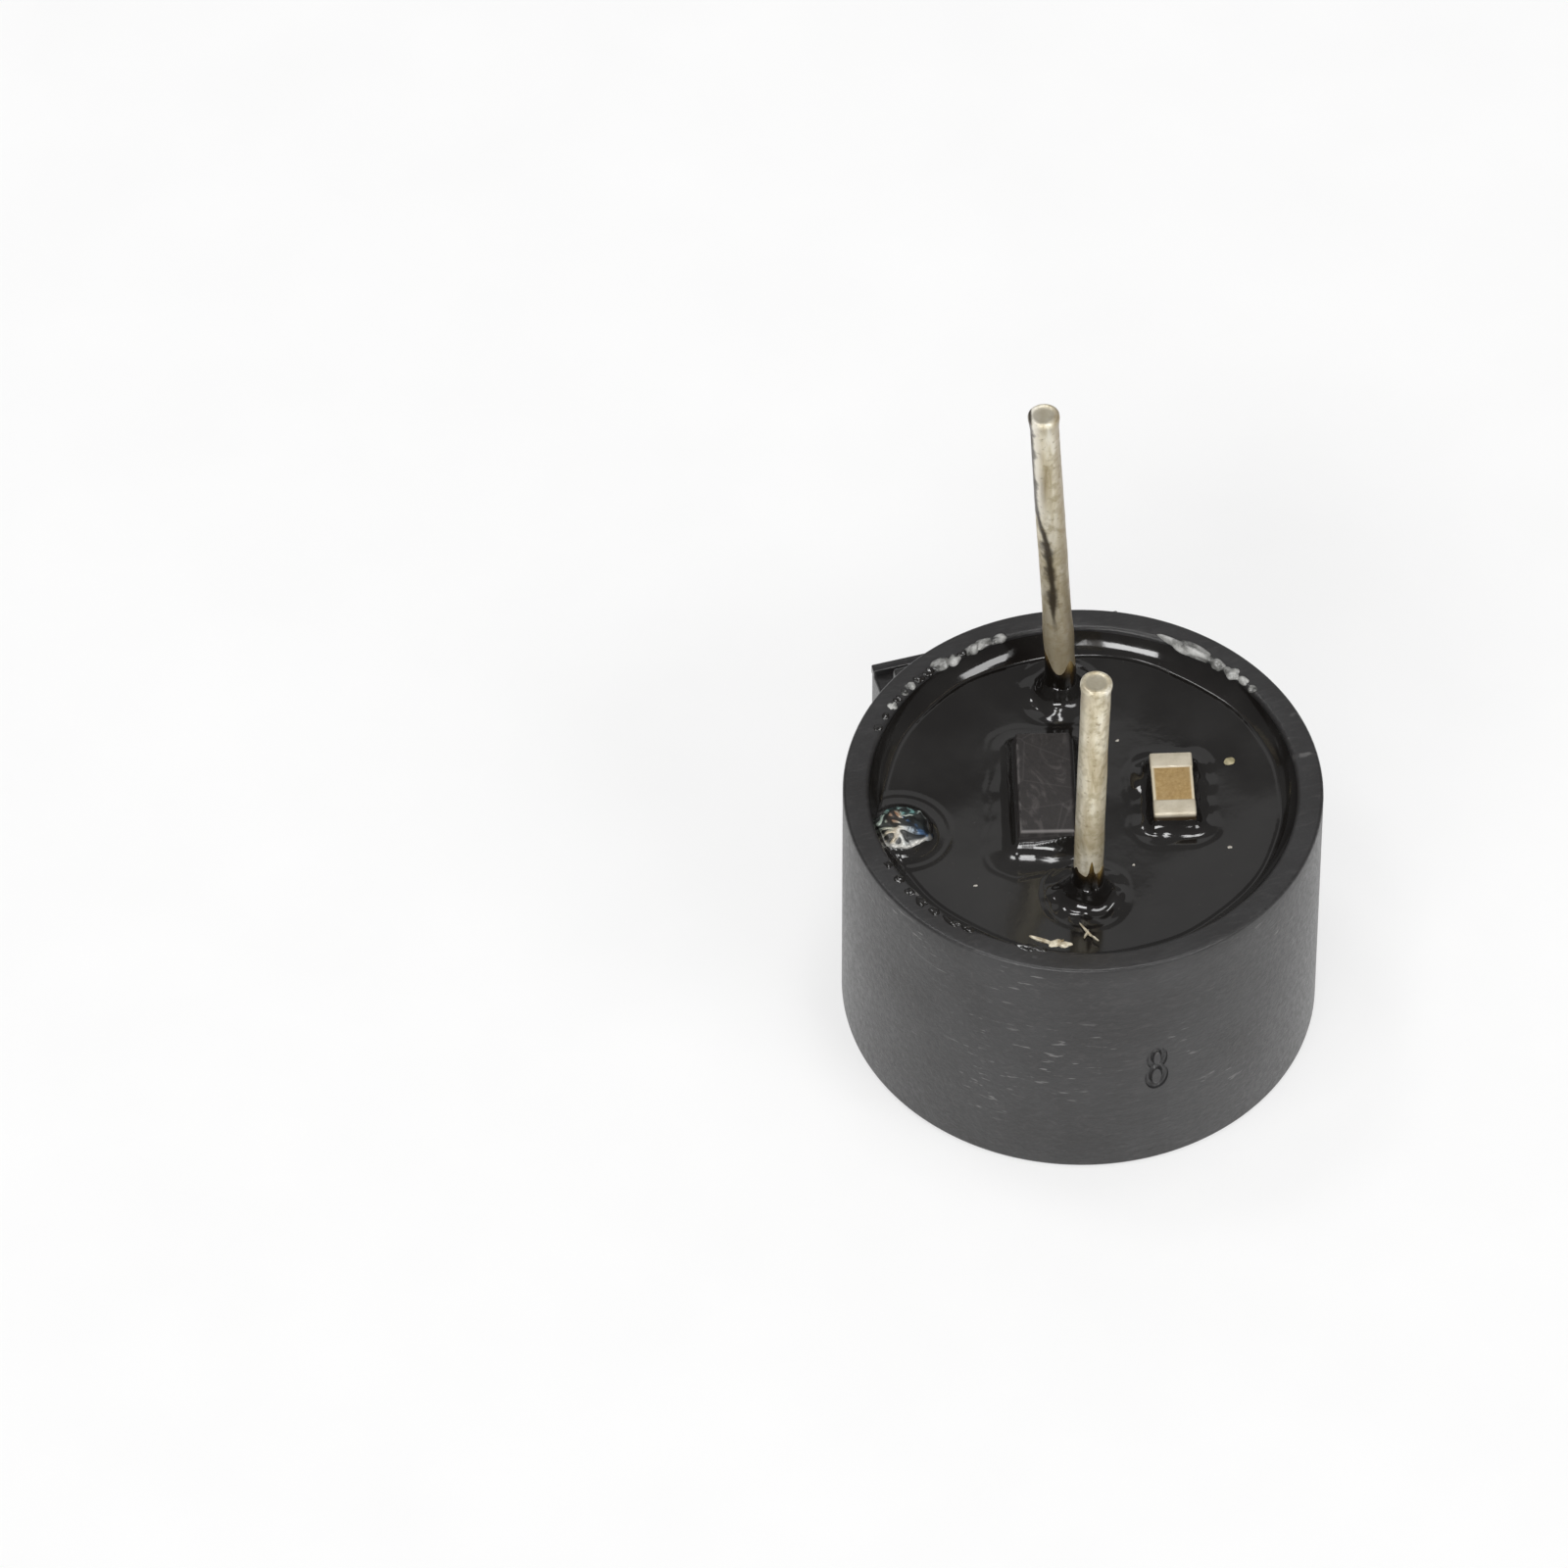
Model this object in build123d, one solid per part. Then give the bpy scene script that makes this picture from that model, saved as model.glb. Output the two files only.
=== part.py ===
from build123d import *
import os

# Side-sound magnetic buzzer, standing on its closed face with both pins up.
# Millimetres. Z runs up the housing axis from the closed face, and the nozzle points along +Y.

# Housing: one moulded cup, open at the pin end
housing_diameter = 9.0
housing_height = 5.7
rim_wall = 0.5
rim_edge_chamfer = 0.06
face_wall = 0.6
face_edge_chamfer = 0.1
board_ledge_width = 0.3
diaphragm_ledge_width = 0.4
diaphragm_level = 2.0

# Nozzle, flush with the closed face, with the shoulder above its root
nozzle_width = 4.9
nozzle_reach = 5.6
nozzle_height = 3.75
nozzle_root_fillet = 0.3
nozzle_lip_height = 0.14
nozzle_lip_depth = 0.2
shoulder_reach = 4.2
shoulder_drop = 0.4
duct_width = 3.3
duct_height = 1.2

# Sounder: diaphragm, magnet and coil
diaphragm_thickness = 0.08
armature_diameter = 3.0
armature_thickness = 0.3
support_ring_width = 0.45
yoke_thickness = 0.4
core_diameter = 1.5
pole_gap = 0.22
magnet_gap = 0.45
magnet_width = 0.83
coil_insulation = 0.04
coil_drop = 0.12
wire_diameter = 0.12
wire_rise = 0.2
wire_start_inset = 0.3
wire_slot_width = 0.4

# Circuit board and pins
board_thickness = 0.6
board_level = 4.12
pin_diameter = 0.56
pin_pitch = 5.0
pin_line_turn = -11.4
pin_centre_x = -0.07
pin_centre_y = 0.34
pin_tip_chamfer = 0.06
pin_stub = 0.15
positive_pin_height = 13.0
positive_pin_lean = 3.45
positive_pin_heading = 163.5
negative_pin_height = 11.2
negative_pin_lean = 0.65
negative_pin_heading = -16.5
pin_bend_rise = 0.1
pin_joint_diameter = 1.5
pin_joint_tip = 0.8
pin_joint_height = 0.4

# Transistor, placed on the board in shares of the rim's bore
transistor_length = 2.66
transistor_width = 1.24
transistor_height = 1.0
transistor_draft = 12.0
transistor_x_share = -0.16
transistor_y_share = 0.085
transistor_turn = -15.0
lead_width = 0.4
lead_thickness = 0.12
lead_pitch = 1.9
lead_span = 2.4
lead_foot = 0.3
lead_level = 0.45
lead_solder_height = 0.15
lead_solder_length = 0.2

# Chip capacitor, placed in the same way
capacitor_length = 1.54
capacitor_width = 0.8
capacitor_height = 0.9
capacitor_x_share = 0.4175
capacitor_y_share = -0.0725
capacitor_turn = -14.0
terminal_length = 0.38
terminal_plating = 0.03
capacitor_edge_chamfer = 0.04
capacitor_solder_height = 0.3
capacitor_solder_length = 0.25

# Solder where the coil's wires meet the board: the left one stands out of the potting
left_joint_inset = 0.6
left_joint_y = 0.25
left_joint_diameter = 1.04
left_joint_height = 0.95
left_joint_crown = 0.35
right_joint_x_share = 0.7425
right_joint_y = 0.25
right_joint_diameter = 0.8
right_joint_tip = 0.24
right_joint_height = 0.5

# Potting: its flat level and how it climbs what stands in it
potting_level = 5.2
wall_climb = 0.35
wall_climb_width = 0.36
pin_climb = 0.6
pin_climb_width = 0.44
pin_climb_edge = 0.02
part_climb = 0.22
part_climb_width = 0.36
joint_climb = 0.1
joint_climb_width = 0.2
climb_knee_share = 0.3

# Clearances, and how far cuts run past what they cut
seat_clearance = 0.05
magnet_clearance = 0.05
coil_clearance = 0.1
pin_hole_clearance = 0.05
wire_hole_clearance = 0.08
yoke_pin_clearance = 0.3
overrun = 1.0

# Sizes that follow from those above
housing_radius = housing_diameter / 2
rim_bore = housing_radius - rim_wall
middle_bore = rim_bore - board_ledge_width
cavity_bore = middle_bore - diaphragm_ledge_width
diaphragm_top = diaphragm_level + diaphragm_thickness
yoke_level = board_level - yoke_thickness
board_top = board_level + board_thickness
board_radius = rim_bore - seat_clearance
stack_radius = middle_bore - seat_clearance
ring_bore = stack_radius - support_ring_width
magnet_radius = ring_bore - magnet_clearance
magnet_bore = magnet_radius - magnet_width
core_radius = core_diameter / 2
coil_radius = magnet_bore - coil_clearance
pole_level = diaphragm_top + pole_gap
pin_radius = pin_diameter / 2
wire_radius = wire_diameter / 2
upright = (Align.CENTER, Align.CENTER, Align.MIN)
outward = (Align.CENTER, Align.MIN, Align.MIN)


def disc(radius, low, high):
    """Upright cylinder on the housing axis."""
    return Pos(0, 0, low) * Cylinder(radius, high - low, align=upright)


def tube(radius, bore, low, high):
    """Upright ring on the housing axis."""
    return disc(radius, low, high) - disc(bore, low - overrun, high + overrun)


def pin_places():
    """Places of the positive and the negative pin on the board."""
    line = Pos(pin_centre_x, pin_centre_y, 0) * Rot(0, 0, pin_line_turn)
    return [line * Pos(0, side * pin_pitch / 2, 0) for side in (1, -1)]


def joint_places():
    """Places of the left and the right coil-lead solder joint on the board."""
    left_x = left_joint_inset - rim_bore
    right_x = right_joint_x_share * rim_bore
    return [Pos(left_x, left_joint_y, 0), Pos(right_x, right_joint_y, 0)]


def transistor_place():
    spot = Pos(transistor_x_share * rim_bore, transistor_y_share * rim_bore, board_top)
    return spot * Rot(0, 0, transistor_turn)


def capacitor_place():
    spot = Pos(capacitor_x_share * rim_bore, capacitor_y_share * rim_bore, board_top)
    return spot * Rot(0, 0, capacitor_turn)


def housing_outside():
    """Cup, nozzle and shoulder as one block, with rounded roots and a broken edge at the closed face."""
    nozzle = Box(nozzle_width, nozzle_reach, nozzle_height, align=outward)
    shoulder = Box(nozzle_width, shoulder_reach, housing_height - shoulder_drop, align=outward)
    block = disc(housing_radius, 0, housing_height) + nozzle + shoulder
    uprights = block.edges().filter_by(Axis.Z).filter_by(lambda edge: edge.center().Y > 0)
    block = fillet(uprights.group_by(Axis.Y)[0], nozzle_root_fillet)
    block = chamfer(block.edges().group_by(Axis.Z)[0], face_edge_chamfer)
    return chamfer(block.edges().group_by(Axis.Z)[-1], rim_edge_chamfer)


def housing():
    """The cup with its lip at the nozzle's mouth, its stepped bore and the sound duct."""
    lip_place = Pos(0, nozzle_reach - nozzle_lip_depth, nozzle_height)
    lip = lip_place * Box(nozzle_width, nozzle_lip_depth, nozzle_lip_height, align=outward)
    cup = housing_outside() + lip
    cup -= disc(cavity_bore, face_wall, housing_height)
    cup -= disc(middle_bore, diaphragm_level, housing_height)
    cup -= disc(rim_bore, board_level, housing_height + overrun)
    duct = Box(duct_width, nozzle_reach + overrun, duct_height, align=outward)
    return cup - Pos(0, 0, face_wall) * duct


def diaphragm():
    return disc(stack_radius, diaphragm_level, diaphragm_top)


def armature_disc():
    return disc(armature_diameter / 2, diaphragm_level - armature_thickness, diaphragm_level)


def support_ring():
    return tube(stack_radius, ring_bore, diaphragm_top, yoke_level)


def ring_magnet():
    return tube(magnet_radius, magnet_bore, diaphragm_top + magnet_gap, yoke_level)


def wire_slot(place):
    """Slot in the yoke plate, from the coil's rim outwards below one solder joint."""
    start = coil_radius - wire_start_inset - wire_slot_width / 2
    sideways = (Align.MIN, Align.CENTER, Align.MIN)
    slot = Box(stack_radius, wire_slot_width, yoke_thickness + 2 * overrun, align=sideways)
    turn = place.position.get_signed_angle(Vector(1, 0, 0), Vector(0, 0, -1))
    return Rot(0, 0, turn) * Pos(start, 0, yoke_level - overrun) * slot


def yoke_plate():
    """Iron plate with the core's hole, room for the pins' ends and a slot for each wire."""
    plate = tube(stack_radius, core_radius, yoke_level, board_level)
    for place in pin_places():
        plate -= place * disc(pin_radius + yoke_pin_clearance, yoke_level - overrun, board_level + overrun)
    for place in joint_places():
        plate -= wire_slot(place)
    return plate


def pole_core():
    return disc(core_radius, pole_level, board_level)


def coil():
    """Winding on the core, a little short of the pole's tip."""
    return tube(coil_radius, core_radius + coil_insulation, pole_level + coil_drop, yoke_level)


def coil_lead(place):
    """Wire from the coil's end, out along the yoke's slot and up through the board to its solder joint."""
    out = Vector(place.position.X, place.position.Y, 0)
    near = out.normalized() * (coil_radius - wire_start_inset)
    bend_level = yoke_level + wire_rise
    rise = Vector(0, 0, bend_level)
    top = out + Vector(0, 0, board_top)
    path = Polyline(near + Vector(0, 0, yoke_level), near + rise, out + rise, top)
    section = Plane(origin=path @ 0, z_dir=path % 0) * Circle(wire_radius)
    return sweep(section, path=path, transition=Transition.RIGHT)


def coil_leads():
    return [coil_lead(place) for place in joint_places()]


def circuit_board():
    """Round board with a hole for each pin and each coil wire."""
    board = disc(board_radius, board_level, board_top)
    for place in pin_places():
        board -= place * disc(pin_radius + pin_hole_clearance, board_level - overrun, board_top + overrun)
    for place in joint_places():
        board -= place * disc(wire_radius + wire_hole_clearance, board_level - overrun, board_top + overrun)
    return board


def bent_pin(place, height, lean, heading):
    """Round pin, upright as far as a bend just above the potting, with a broken edge at its tip."""
    base = place.position
    bend = base + Vector(0, 0, potting_level + pin_climb + pin_bend_rise)
    along = Vector(0, 0, 1).rotate(Axis.Y, lean).rotate(Axis.Z, heading)
    mitre = Plane(origin=bend, z_dir=along + Vector(0, 0, 1))
    root = place * disc(pin_radius, board_level - pin_stub, bend.Z + overrun)
    free = Plane(origin=bend, z_dir=along) * disc(pin_radius, -overrun, (height - bend.Z) / along.Z)
    free = chamfer(free.edges().sort_by(Axis.Z)[-1], pin_tip_chamfer)
    return split(root, bisect_by=mitre, keep=Keep.BOTTOM) + split(free, bisect_by=mitre, keep=Keep.TOP)


def pin_positive():
    """The long pin."""
    return bent_pin(pin_places()[0], positive_pin_height, positive_pin_lean, positive_pin_heading)


def pin_negative():
    """The short pin."""
    return bent_pin(pin_places()[1], negative_pin_height, negative_pin_lean, negative_pin_heading)


def solder_cone(foot, tip, height):
    """Cone of solder on the board, on the housing axis."""
    return Pos(0, 0, board_top) * Cone(foot / 2, tip / 2, height, align=upright)


def pin_solder_joints():
    """Solder that climbs each pin, no further out than the board's edge."""
    cone = solder_cone(pin_joint_diameter, pin_joint_tip, pin_joint_height)
    over_board = disc(board_radius, board_top, board_top + pin_joint_height)
    pins = (pin_positive(), pin_negative())
    return [place * cone - pin & over_board for place, pin in zip(pin_places(), pins)]


def transistor_body():
    """Moulded body, drafted both ways from the plane of its leads."""
    outline = Rectangle(transistor_width, transistor_length)
    lower = extrude(outline, -lead_level, taper=transistor_draft)
    upper = extrude(outline, transistor_height - lead_level, taper=transistor_draft)
    return transistor_place() * Pos(0, 0, lead_level) * (lower + upper)


def gull_lead():
    """One lead, bent down from the body's side to the board, pointing along +X."""
    inner = transistor_width / 2 - lead_thickness
    outer = lead_span / 2
    heel = outer - lead_foot
    knee = (inner + heel) / 2
    upper = [(inner, lead_level), (knee, lead_level), (heel, lead_thickness), (outer, lead_thickness)]
    lower = [(along, level - lead_thickness) for along, level in reversed(upper)]
    side = Plane.XZ * make_face(Polyline(*upper, *lower, close=True))
    return extrude(side, lead_width / 2, both=True)


def lead_seats():
    """Where the three leads stand: two on the body's left side and one on its right."""
    left = [Rot(0, 0, 180) * Pos(0, side * lead_pitch / 2, 0) for side in (1, -1)]
    return left + [Pos(0, 0, 0)]


def transistor_leads():
    body = transistor_body()
    return [transistor_place() * seat * gull_lead() - body for seat in lead_seats()]


def capacitor_body():
    """Ceramic block between the two end caps."""
    core_width = capacitor_width - 2 * terminal_plating
    core_height = capacitor_height - 2 * terminal_plating
    length = capacitor_length - 2 * terminal_plating
    return capacitor_place() * Pos(0, 0, terminal_plating) * Box(core_width, length, core_height, align=upright)


def capacitor_terminals():
    """End caps that wrap all sides of the block's ends."""
    cap = Box(capacitor_width, terminal_length, capacitor_height, align=(Align.CENTER, Align.MAX, Align.MIN))
    cap = chamfer(cap.edges(), capacitor_edge_chamfer)
    body = capacitor_body()
    ends = [Rot(0, 0, turn) * Pos(0, capacitor_length / 2, 0) for turn in (0, 180)]
    return [capacitor_place() * end * cap - body for end in ends]


def solder_wedge(width, length, height):
    """Wedge of solder on the board, standing against what lies at Y = 0 and falling away along +Y."""
    side = Plane.YZ * make_face(Polyline((0, 0), (length, 0), (0, height), close=True))
    return extrude(side, width / 2, both=True)


def component_solder():
    """Solder at the capacitor's two ends and the transistor's three toes."""
    cap_wedge = solder_wedge(capacitor_width, capacitor_solder_length, capacitor_solder_height)
    ends = [Rot(0, 0, turn) * Pos(0, capacitor_length / 2, 0) for turn in (0, 180)]
    wedges = [capacitor_place() * end * cap_wedge for end in ends]
    toe_wedge = Rot(0, 0, -90) * solder_wedge(lead_width, lead_solder_length, lead_solder_height)
    toe = Pos(lead_span / 2, 0, 0)
    wedges += [transistor_place() * seat * toe * toe_wedge for seat in lead_seats()]
    return wedges


def solder_dome(diameter, height):
    """Bead of solder: upright at its foot, with a domed top."""
    radius = diameter / 2
    shoulder = height - left_joint_crown
    curve = TangentArc((0, height), (radius, shoulder), tangent=(1, 0))
    outline = Polyline((0, height), (0, 0), (radius, 0), (radius, shoulder))
    return Pos(0, 0, board_top) * revolve(Plane.XZ * make_face(Curve() + [curve, outline]), Axis.Z)


def coil_lead_joints():
    """A full bead on the left, and a low cone on the right whose tip just reaches the potting's surface."""
    bead = solder_dome(left_joint_diameter, left_joint_height)
    cone = solder_cone(right_joint_diameter, right_joint_tip, right_joint_height)
    return [place * joint for place, joint in zip(joint_places(), (bead, cone))]


def skirt(width, length, place):
    """Potting that climbs the four sides of a small part."""
    foot = Rectangle(width + 2 * part_climb_width, length + 2 * part_climb_width)
    top = Pos(0, 0, part_climb) * Rectangle(width, length)
    return place * Pos(0, 0, potting_level - board_top) * loft([foot, top])


def turned(*outline):
    """Solid turned about the Z axis from an outline of (radius, level) points."""
    return revolve(Plane.XZ * make_face(Polyline(*outline, close=True)), Axis.Z)


def climb(start, width, rise):
    """Points of a climb in two slopes, up to radius start; a negative width climbs outwards."""
    return (start + width, 0), (start + width * climb_knee_share, rise * climb_knee_share), (start, rise)


def potting_fill():
    """Resin up to its level, with all the places where it climbs."""
    depth = potting_level - board_top
    wall = climb(rim_bore, -wall_climb_width, wall_climb)
    fill = Pos(0, 0, potting_level) * turned((0, -depth), (0, 0), *wall, (rim_bore, -depth))
    pin_rise = climb(pin_radius + pin_climb_edge, pin_climb_width, pin_climb)
    collar = Pos(0, 0, potting_level) * turned((0, 0), *pin_rise, (0, pin_climb))
    bead_foot = left_joint_diameter / 2 + joint_climb_width
    bead = Pos(0, 0, potting_level) * Cone(bead_foot, left_joint_diameter / 2, joint_climb, align=upright)
    fill += [place * collar for place in pin_places()]
    fill += joint_places()[0] * bead
    fill += skirt(transistor_width, transistor_length, transistor_place())
    fill += skirt(capacitor_width, capacitor_length, capacitor_place())
    return fill & disc(rim_bore, board_top, housing_height + overrun)


def potting():
    """The fill, cut away where each part stands in it."""
    fill = potting_fill()
    block = Box(capacitor_width, capacitor_length, capacitor_height, align=upright)
    cuts = [capacitor_place() * block, transistor_body(), pin_positive(), pin_negative()]
    cuts += transistor_leads() + component_solder() + pin_solder_joints() + coil_lead_joints()
    for cut in cuts:
        fill -= cut
    return fill


NODES = {
    "housing": housing,
    "diaphragm": diaphragm,
    "armature_disc": armature_disc,
    "support_ring": support_ring,
    "ring_magnet": ring_magnet,
    "yoke_plate": yoke_plate,
    "pole_core": pole_core,
    "coil": coil,
    "coil_leads": coil_leads,
    "circuit_board": circuit_board,
    "pin_positive": pin_positive,
    "pin_negative": pin_negative,
    "pin_solder_joints": pin_solder_joints,
    "transistor_body": transistor_body,
    "transistor_leads": transistor_leads,
    "capacitor_body": capacitor_body,
    "capacitor_terminals": capacitor_terminals,
    "component_solder": component_solder,
    "coil_lead_joints": coil_lead_joints,
    "potting": potting,
}


def write_parts():
    os.makedirs("parts", exist_ok=True)
    for name, make in NODES.items():
        made = make()
        shape = Compound(children=made) if isinstance(made, list) else made
        export_step(shape, f"parts/{name}.step")


write_parts()
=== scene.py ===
import math
from collections import namedtuple
from functools import partial

import bmesh
import bpy
import numpy as np
from mathutils import Matrix, Vector


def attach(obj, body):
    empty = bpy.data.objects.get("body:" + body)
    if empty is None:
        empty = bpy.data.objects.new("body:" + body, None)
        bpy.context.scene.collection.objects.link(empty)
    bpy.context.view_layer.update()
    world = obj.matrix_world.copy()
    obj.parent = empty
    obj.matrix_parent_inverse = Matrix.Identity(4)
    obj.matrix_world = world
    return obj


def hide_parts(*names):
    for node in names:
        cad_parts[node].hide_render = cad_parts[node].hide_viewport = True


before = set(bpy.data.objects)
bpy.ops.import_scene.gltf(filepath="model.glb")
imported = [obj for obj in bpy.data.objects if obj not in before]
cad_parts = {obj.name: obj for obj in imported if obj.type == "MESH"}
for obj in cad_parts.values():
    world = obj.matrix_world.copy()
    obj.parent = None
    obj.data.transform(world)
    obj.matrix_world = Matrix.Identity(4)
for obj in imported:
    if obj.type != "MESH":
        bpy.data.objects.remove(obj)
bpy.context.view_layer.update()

# Lengths are millimetres in the part's frame and become metres when a mesh is made. The stage's are metres.
MM = 0.001

# Housing: the cup, its rim, and its bore in steps of radius and level
HOUSING_R, HOUSING_H, FACE_WALL, FACE_EDGE = 4.498, 5.7, 0.6, 0.1
RIM_MIDDLE, RIM_FLAT, RIM_EDGE, RIM_WEAR = 4.2, 0.22, 0.07, 0.004
BORE_R, BORE_EDGE, BORE_WEAR = 4.0, 0.09, 0.006
BORE_STEPS = ((4.0, 4.12), (3.7, 4.12), (3.7, 2.0), (3.3, 2.0), (3.3, 0.6))

# Nozzle, with its shoulder, duct and lip
NOZZLE_HALF, NOZZLE_REACH, NOZZLE_H, NOZZLE_EDGE, NOZZLE_CORNER = 2.45, 5.599, 3.75, 0.07, 0.1
SHOULDER_REACH, SHOULDER_H, SHOULDER_EDGE, SHOULDER_CORNER = 4.2, 5.3, 0.06, 0.06
ROOT_FILLET = 0.3
DUCT_HALF, DUCT_RUN, DUCT_TOP, DUCT_EDGE, DUCT_Y = 1.65, 3.0, 1.8, 0.06, 3.6
LIP_HALF, LIP_FOOT, LIP_TOP, LIP_EDGE, LIP_Y = 0.1, 3.68, 3.89, 0.03, 5.499

# Marks: the circled plus on the closed face, and the mould number's loops by level and half sizes
PLUS_Y, PLUS_ARM, PLUS_HALF, PLUS_RING = 2.16, 0.62, 0.165, (0.85, 1.08)
MARK_DEPTH, OVERRUN = 0.05, 0.2
FIGURE_TURN, FIGURE_LOOPS = 17.7, ((2.94, 0.135, 0.24), (2.42, 0.16, 0.28))
STROKE_HALF, STROKE_DEPTH = 0.07, 0.075

# Pins: place on the board, lean and heading in degrees, and level of the tip
Pin = namedtuple("Pin", "base lean heading top")
LONG_PIN = Pin((0.424, 2.791), 3.45, 163.5, 13.0)
SHORT_PIN = Pin((-0.564, -2.111), 0.65, -16.5, 11.2)
PIN_R, COAT_R, PIN_FOOT, PIN_STEP = 0.28, 0.274, 4.0, 0.04
PIN_BEND, BEND_HALF, BULGE_LEVEL, BULGE_HALF = 5.9, 0.15, 6.9, 0.45
FILM_LIMIT, FILM_BORE = 8.0, 0.255

# A pin's tip, by distance back from its end and radius
PIN_TIP_LENGTH, PIN_TIP_CLEAR = 0.36, 0.012
PIN_TIP = (
    (0.3, 0.277), (0.22, 0.283), (0.15, 0.293), (0.1, 0.3), (0.06, 0.3), (0.03, 0.292), (0.012, 0.275),
    (0.002, 0.25), (0.004, 0.228), (0.016, 0.2), (0.022, 0.12),
)

# Board, resin and small parts, which have their places, turns in degrees and half sizes
BOARD_TOP, RESIN_LEVEL = 4.72, 5.2
TRANSISTOR, TRANSISTOR_HALF, TRANSISTOR_DRAFT = (-0.64, 0.34, -15.0), (0.62, 1.33), 12.0
CASE_BELOW, CASE_ABOVE, CASE_H = 0.45, 0.55, 1.0
CAPACITOR, CAPACITOR_REACH = (1.67, -0.29, -14.0), 0.77
CERAMIC_HALF, CERAMIC_LEVELS = (0.39, 0.74), (0.03, 0.88)
CAP_HALF, CAP_H = (0.4, 0.19), 0.9
BEAD, BEAD_HALF, BEAD_LEVEL = (-3.46, 0.295), (0.55, 0.51, 0.47), 5.22
CONE = (2.97, 0.25)

# Resin left on the rim, by angle in degrees, radius on the rim, half length, half width and height
PALE_LUMPS = (
    (114.3, 4.06, 0.13, 0.1, 0.07), (110.3, 4.0, 0.1, 0.07, 0.05), (104.2, 4.03, 0.11, 0.07, 0.06),
    (100.3, 4.05, 0.15, 0.07, 0.045), (96.2, 4.03, 0.13, 0.06, 0.05), (125.0, 4.1, 0.07, 0.06, 0.035),
    (127.6, 4.1, 0.06, 0.05, 0.03), (133.5, 4.1, 0.07, 0.05, 0.03), (43.0, 4.03, 0.42, 0.1, 0.06),
    (33.3, 4.03, 0.1, 0.08, 0.06), (28.6, 4.05, 0.12, 0.08, 0.05), (24.6, 4.06, 0.08, 0.06, 0.045),
    (21.1, 4.07, 0.07, 0.05, 0.035),
)
DARK_LUMPS = (
    (-144.0, 4.12, 0.14, 0.05, 0.03), (-149.2, 4.13, 0.08, 0.06, 0.03), (-154.0, 4.12, 0.1, 0.07, 0.035),
    (-158.5, 4.14, 0.07, 0.06, 0.03), (-163.5, 4.12, 0.09, 0.06, 0.03), (-139.0, 4.08, 0.1, 0.06, 0.03),
    (-169.0, 4.12, 0.08, 0.05, 0.025), (-121.0, 4.04, 0.22, 0.06, 0.03), (118.2, 4.08, 0.09, 0.06, 0.04),
    (121.6, 4.09, 0.08, 0.06, 0.035), (130.6, 4.11, 0.06, 0.05, 0.025), (137.5, 4.11, 0.08, 0.05, 0.025),
    (107.3, 4.03, 0.08, 0.05, 0.04), (142.0, 4.12, 0.06, 0.05, 0.02),
)
LUMP_GROWTH = (1.4, 1.5, 1.6)

# Amber flakes, pale in part as painted highlight, and last three thin pale strands that are painted highlight
# on the resin: x, y, level, heading in degrees, half length and half width
FLAKES = (
    (-1.86, -3.24, 5.6, -40.0, 0.2, 0.045), (-1.62, -3.42, 5.62, -25.0, 0.12, 0.09),
    (-1.45, -3.5, 5.62, -15.0, 0.13, 0.07), (-1.52, -3.4, 5.6, 30.0, 0.09, 0.05),
    # Painted highlight: thin pale strands that stand for glints on small bumps of the resin.
    (-0.87, -3.03, 5.28, -72.0, 0.2, 0.022), (-0.9, -3.1, 5.28, 48.0, 0.13, 0.02),
    (-0.78, -3.28, 5.32, -60.0, 0.1, 0.02),
)

# Dust on the resin: x, y and half size
SPECKS = ((2.32, -1.79, 0.04), (0.47, -1.69, 0.03), (-2.51, -1.34, 0.035), (1.1, 1.34, 0.035))

# The photograph's camera: azimuth and elevation in degrees, distance and offsets in millimetres.
AZIMUTH, ELEVATION, DISTANCE = math.radians(-16.5), math.radians(49.09), 256.6
SIDEWAYS, UPWARDS, LENS = -5.595, 0.073, 315.0
RIGHT = Vector((math.cos(AZIMUTH), math.sin(AZIMUTH), 0))
AHEAD = Vector((-math.sin(AZIMUTH), math.cos(AZIMUTH), 0))
ABOVE = Vector((0, 0, 1))


# Mesh helpers

def waves(seed, count, low, high):
    """Smooth unevenness over a plane, a sum of plane waves that are low to high millimetres long."""
    random = np.random.RandomState(seed)
    turns = random.uniform(0, 2 * np.pi, count)
    rates = 2 * np.pi / random.uniform(low, high, count)
    shifts = random.uniform(0, 2 * np.pi, count)

    def at(x, y):
        total = np.zeros(np.broadcast(x, y).shape)
        for turn, rate, shift in zip(turns, rates, shifts):
            total += np.sin((x * np.cos(turn) + y * np.sin(turn)) * rate + shift)
        return total / math.sqrt(count)

    return at


def circle(count):
    """Angles all round, evenly apart."""
    return np.linspace(0, 2 * np.pi, count + 1)[:-1]


def ring(radius, turn, level, middle=(0, 0)):
    """Points round an upright axis."""
    x, y = middle[0] + radius * np.cos(turn), middle[1] + radius * np.sin(turn)
    return np.stack([x, y, np.broadcast_to(level, turn.shape)], 1)


def loft(rings, start=None, end=None):
    """Points and faces of a skin over rings of equal length, closed by a point at either end."""
    count = len(rings[0])
    points = np.vstack(rings).tolist()
    step = np.arange(count)
    faces = []
    for k in range(len(rings) - 1):
        a = k * count + step
        b = k * count + (step + 1) % count
        faces += np.stack([a, b, b + count, a + count], 1).tolist()
    for tip, place in ((start, 0), (end, len(rings) - 1)):
        if tip is not None:
            points.append(list(tip))
            first, last = place * count, len(points) - 1
            faces += [(first + i, first + (i + 1) % count, last) for i in range(count)]
    return points, faces


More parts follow.
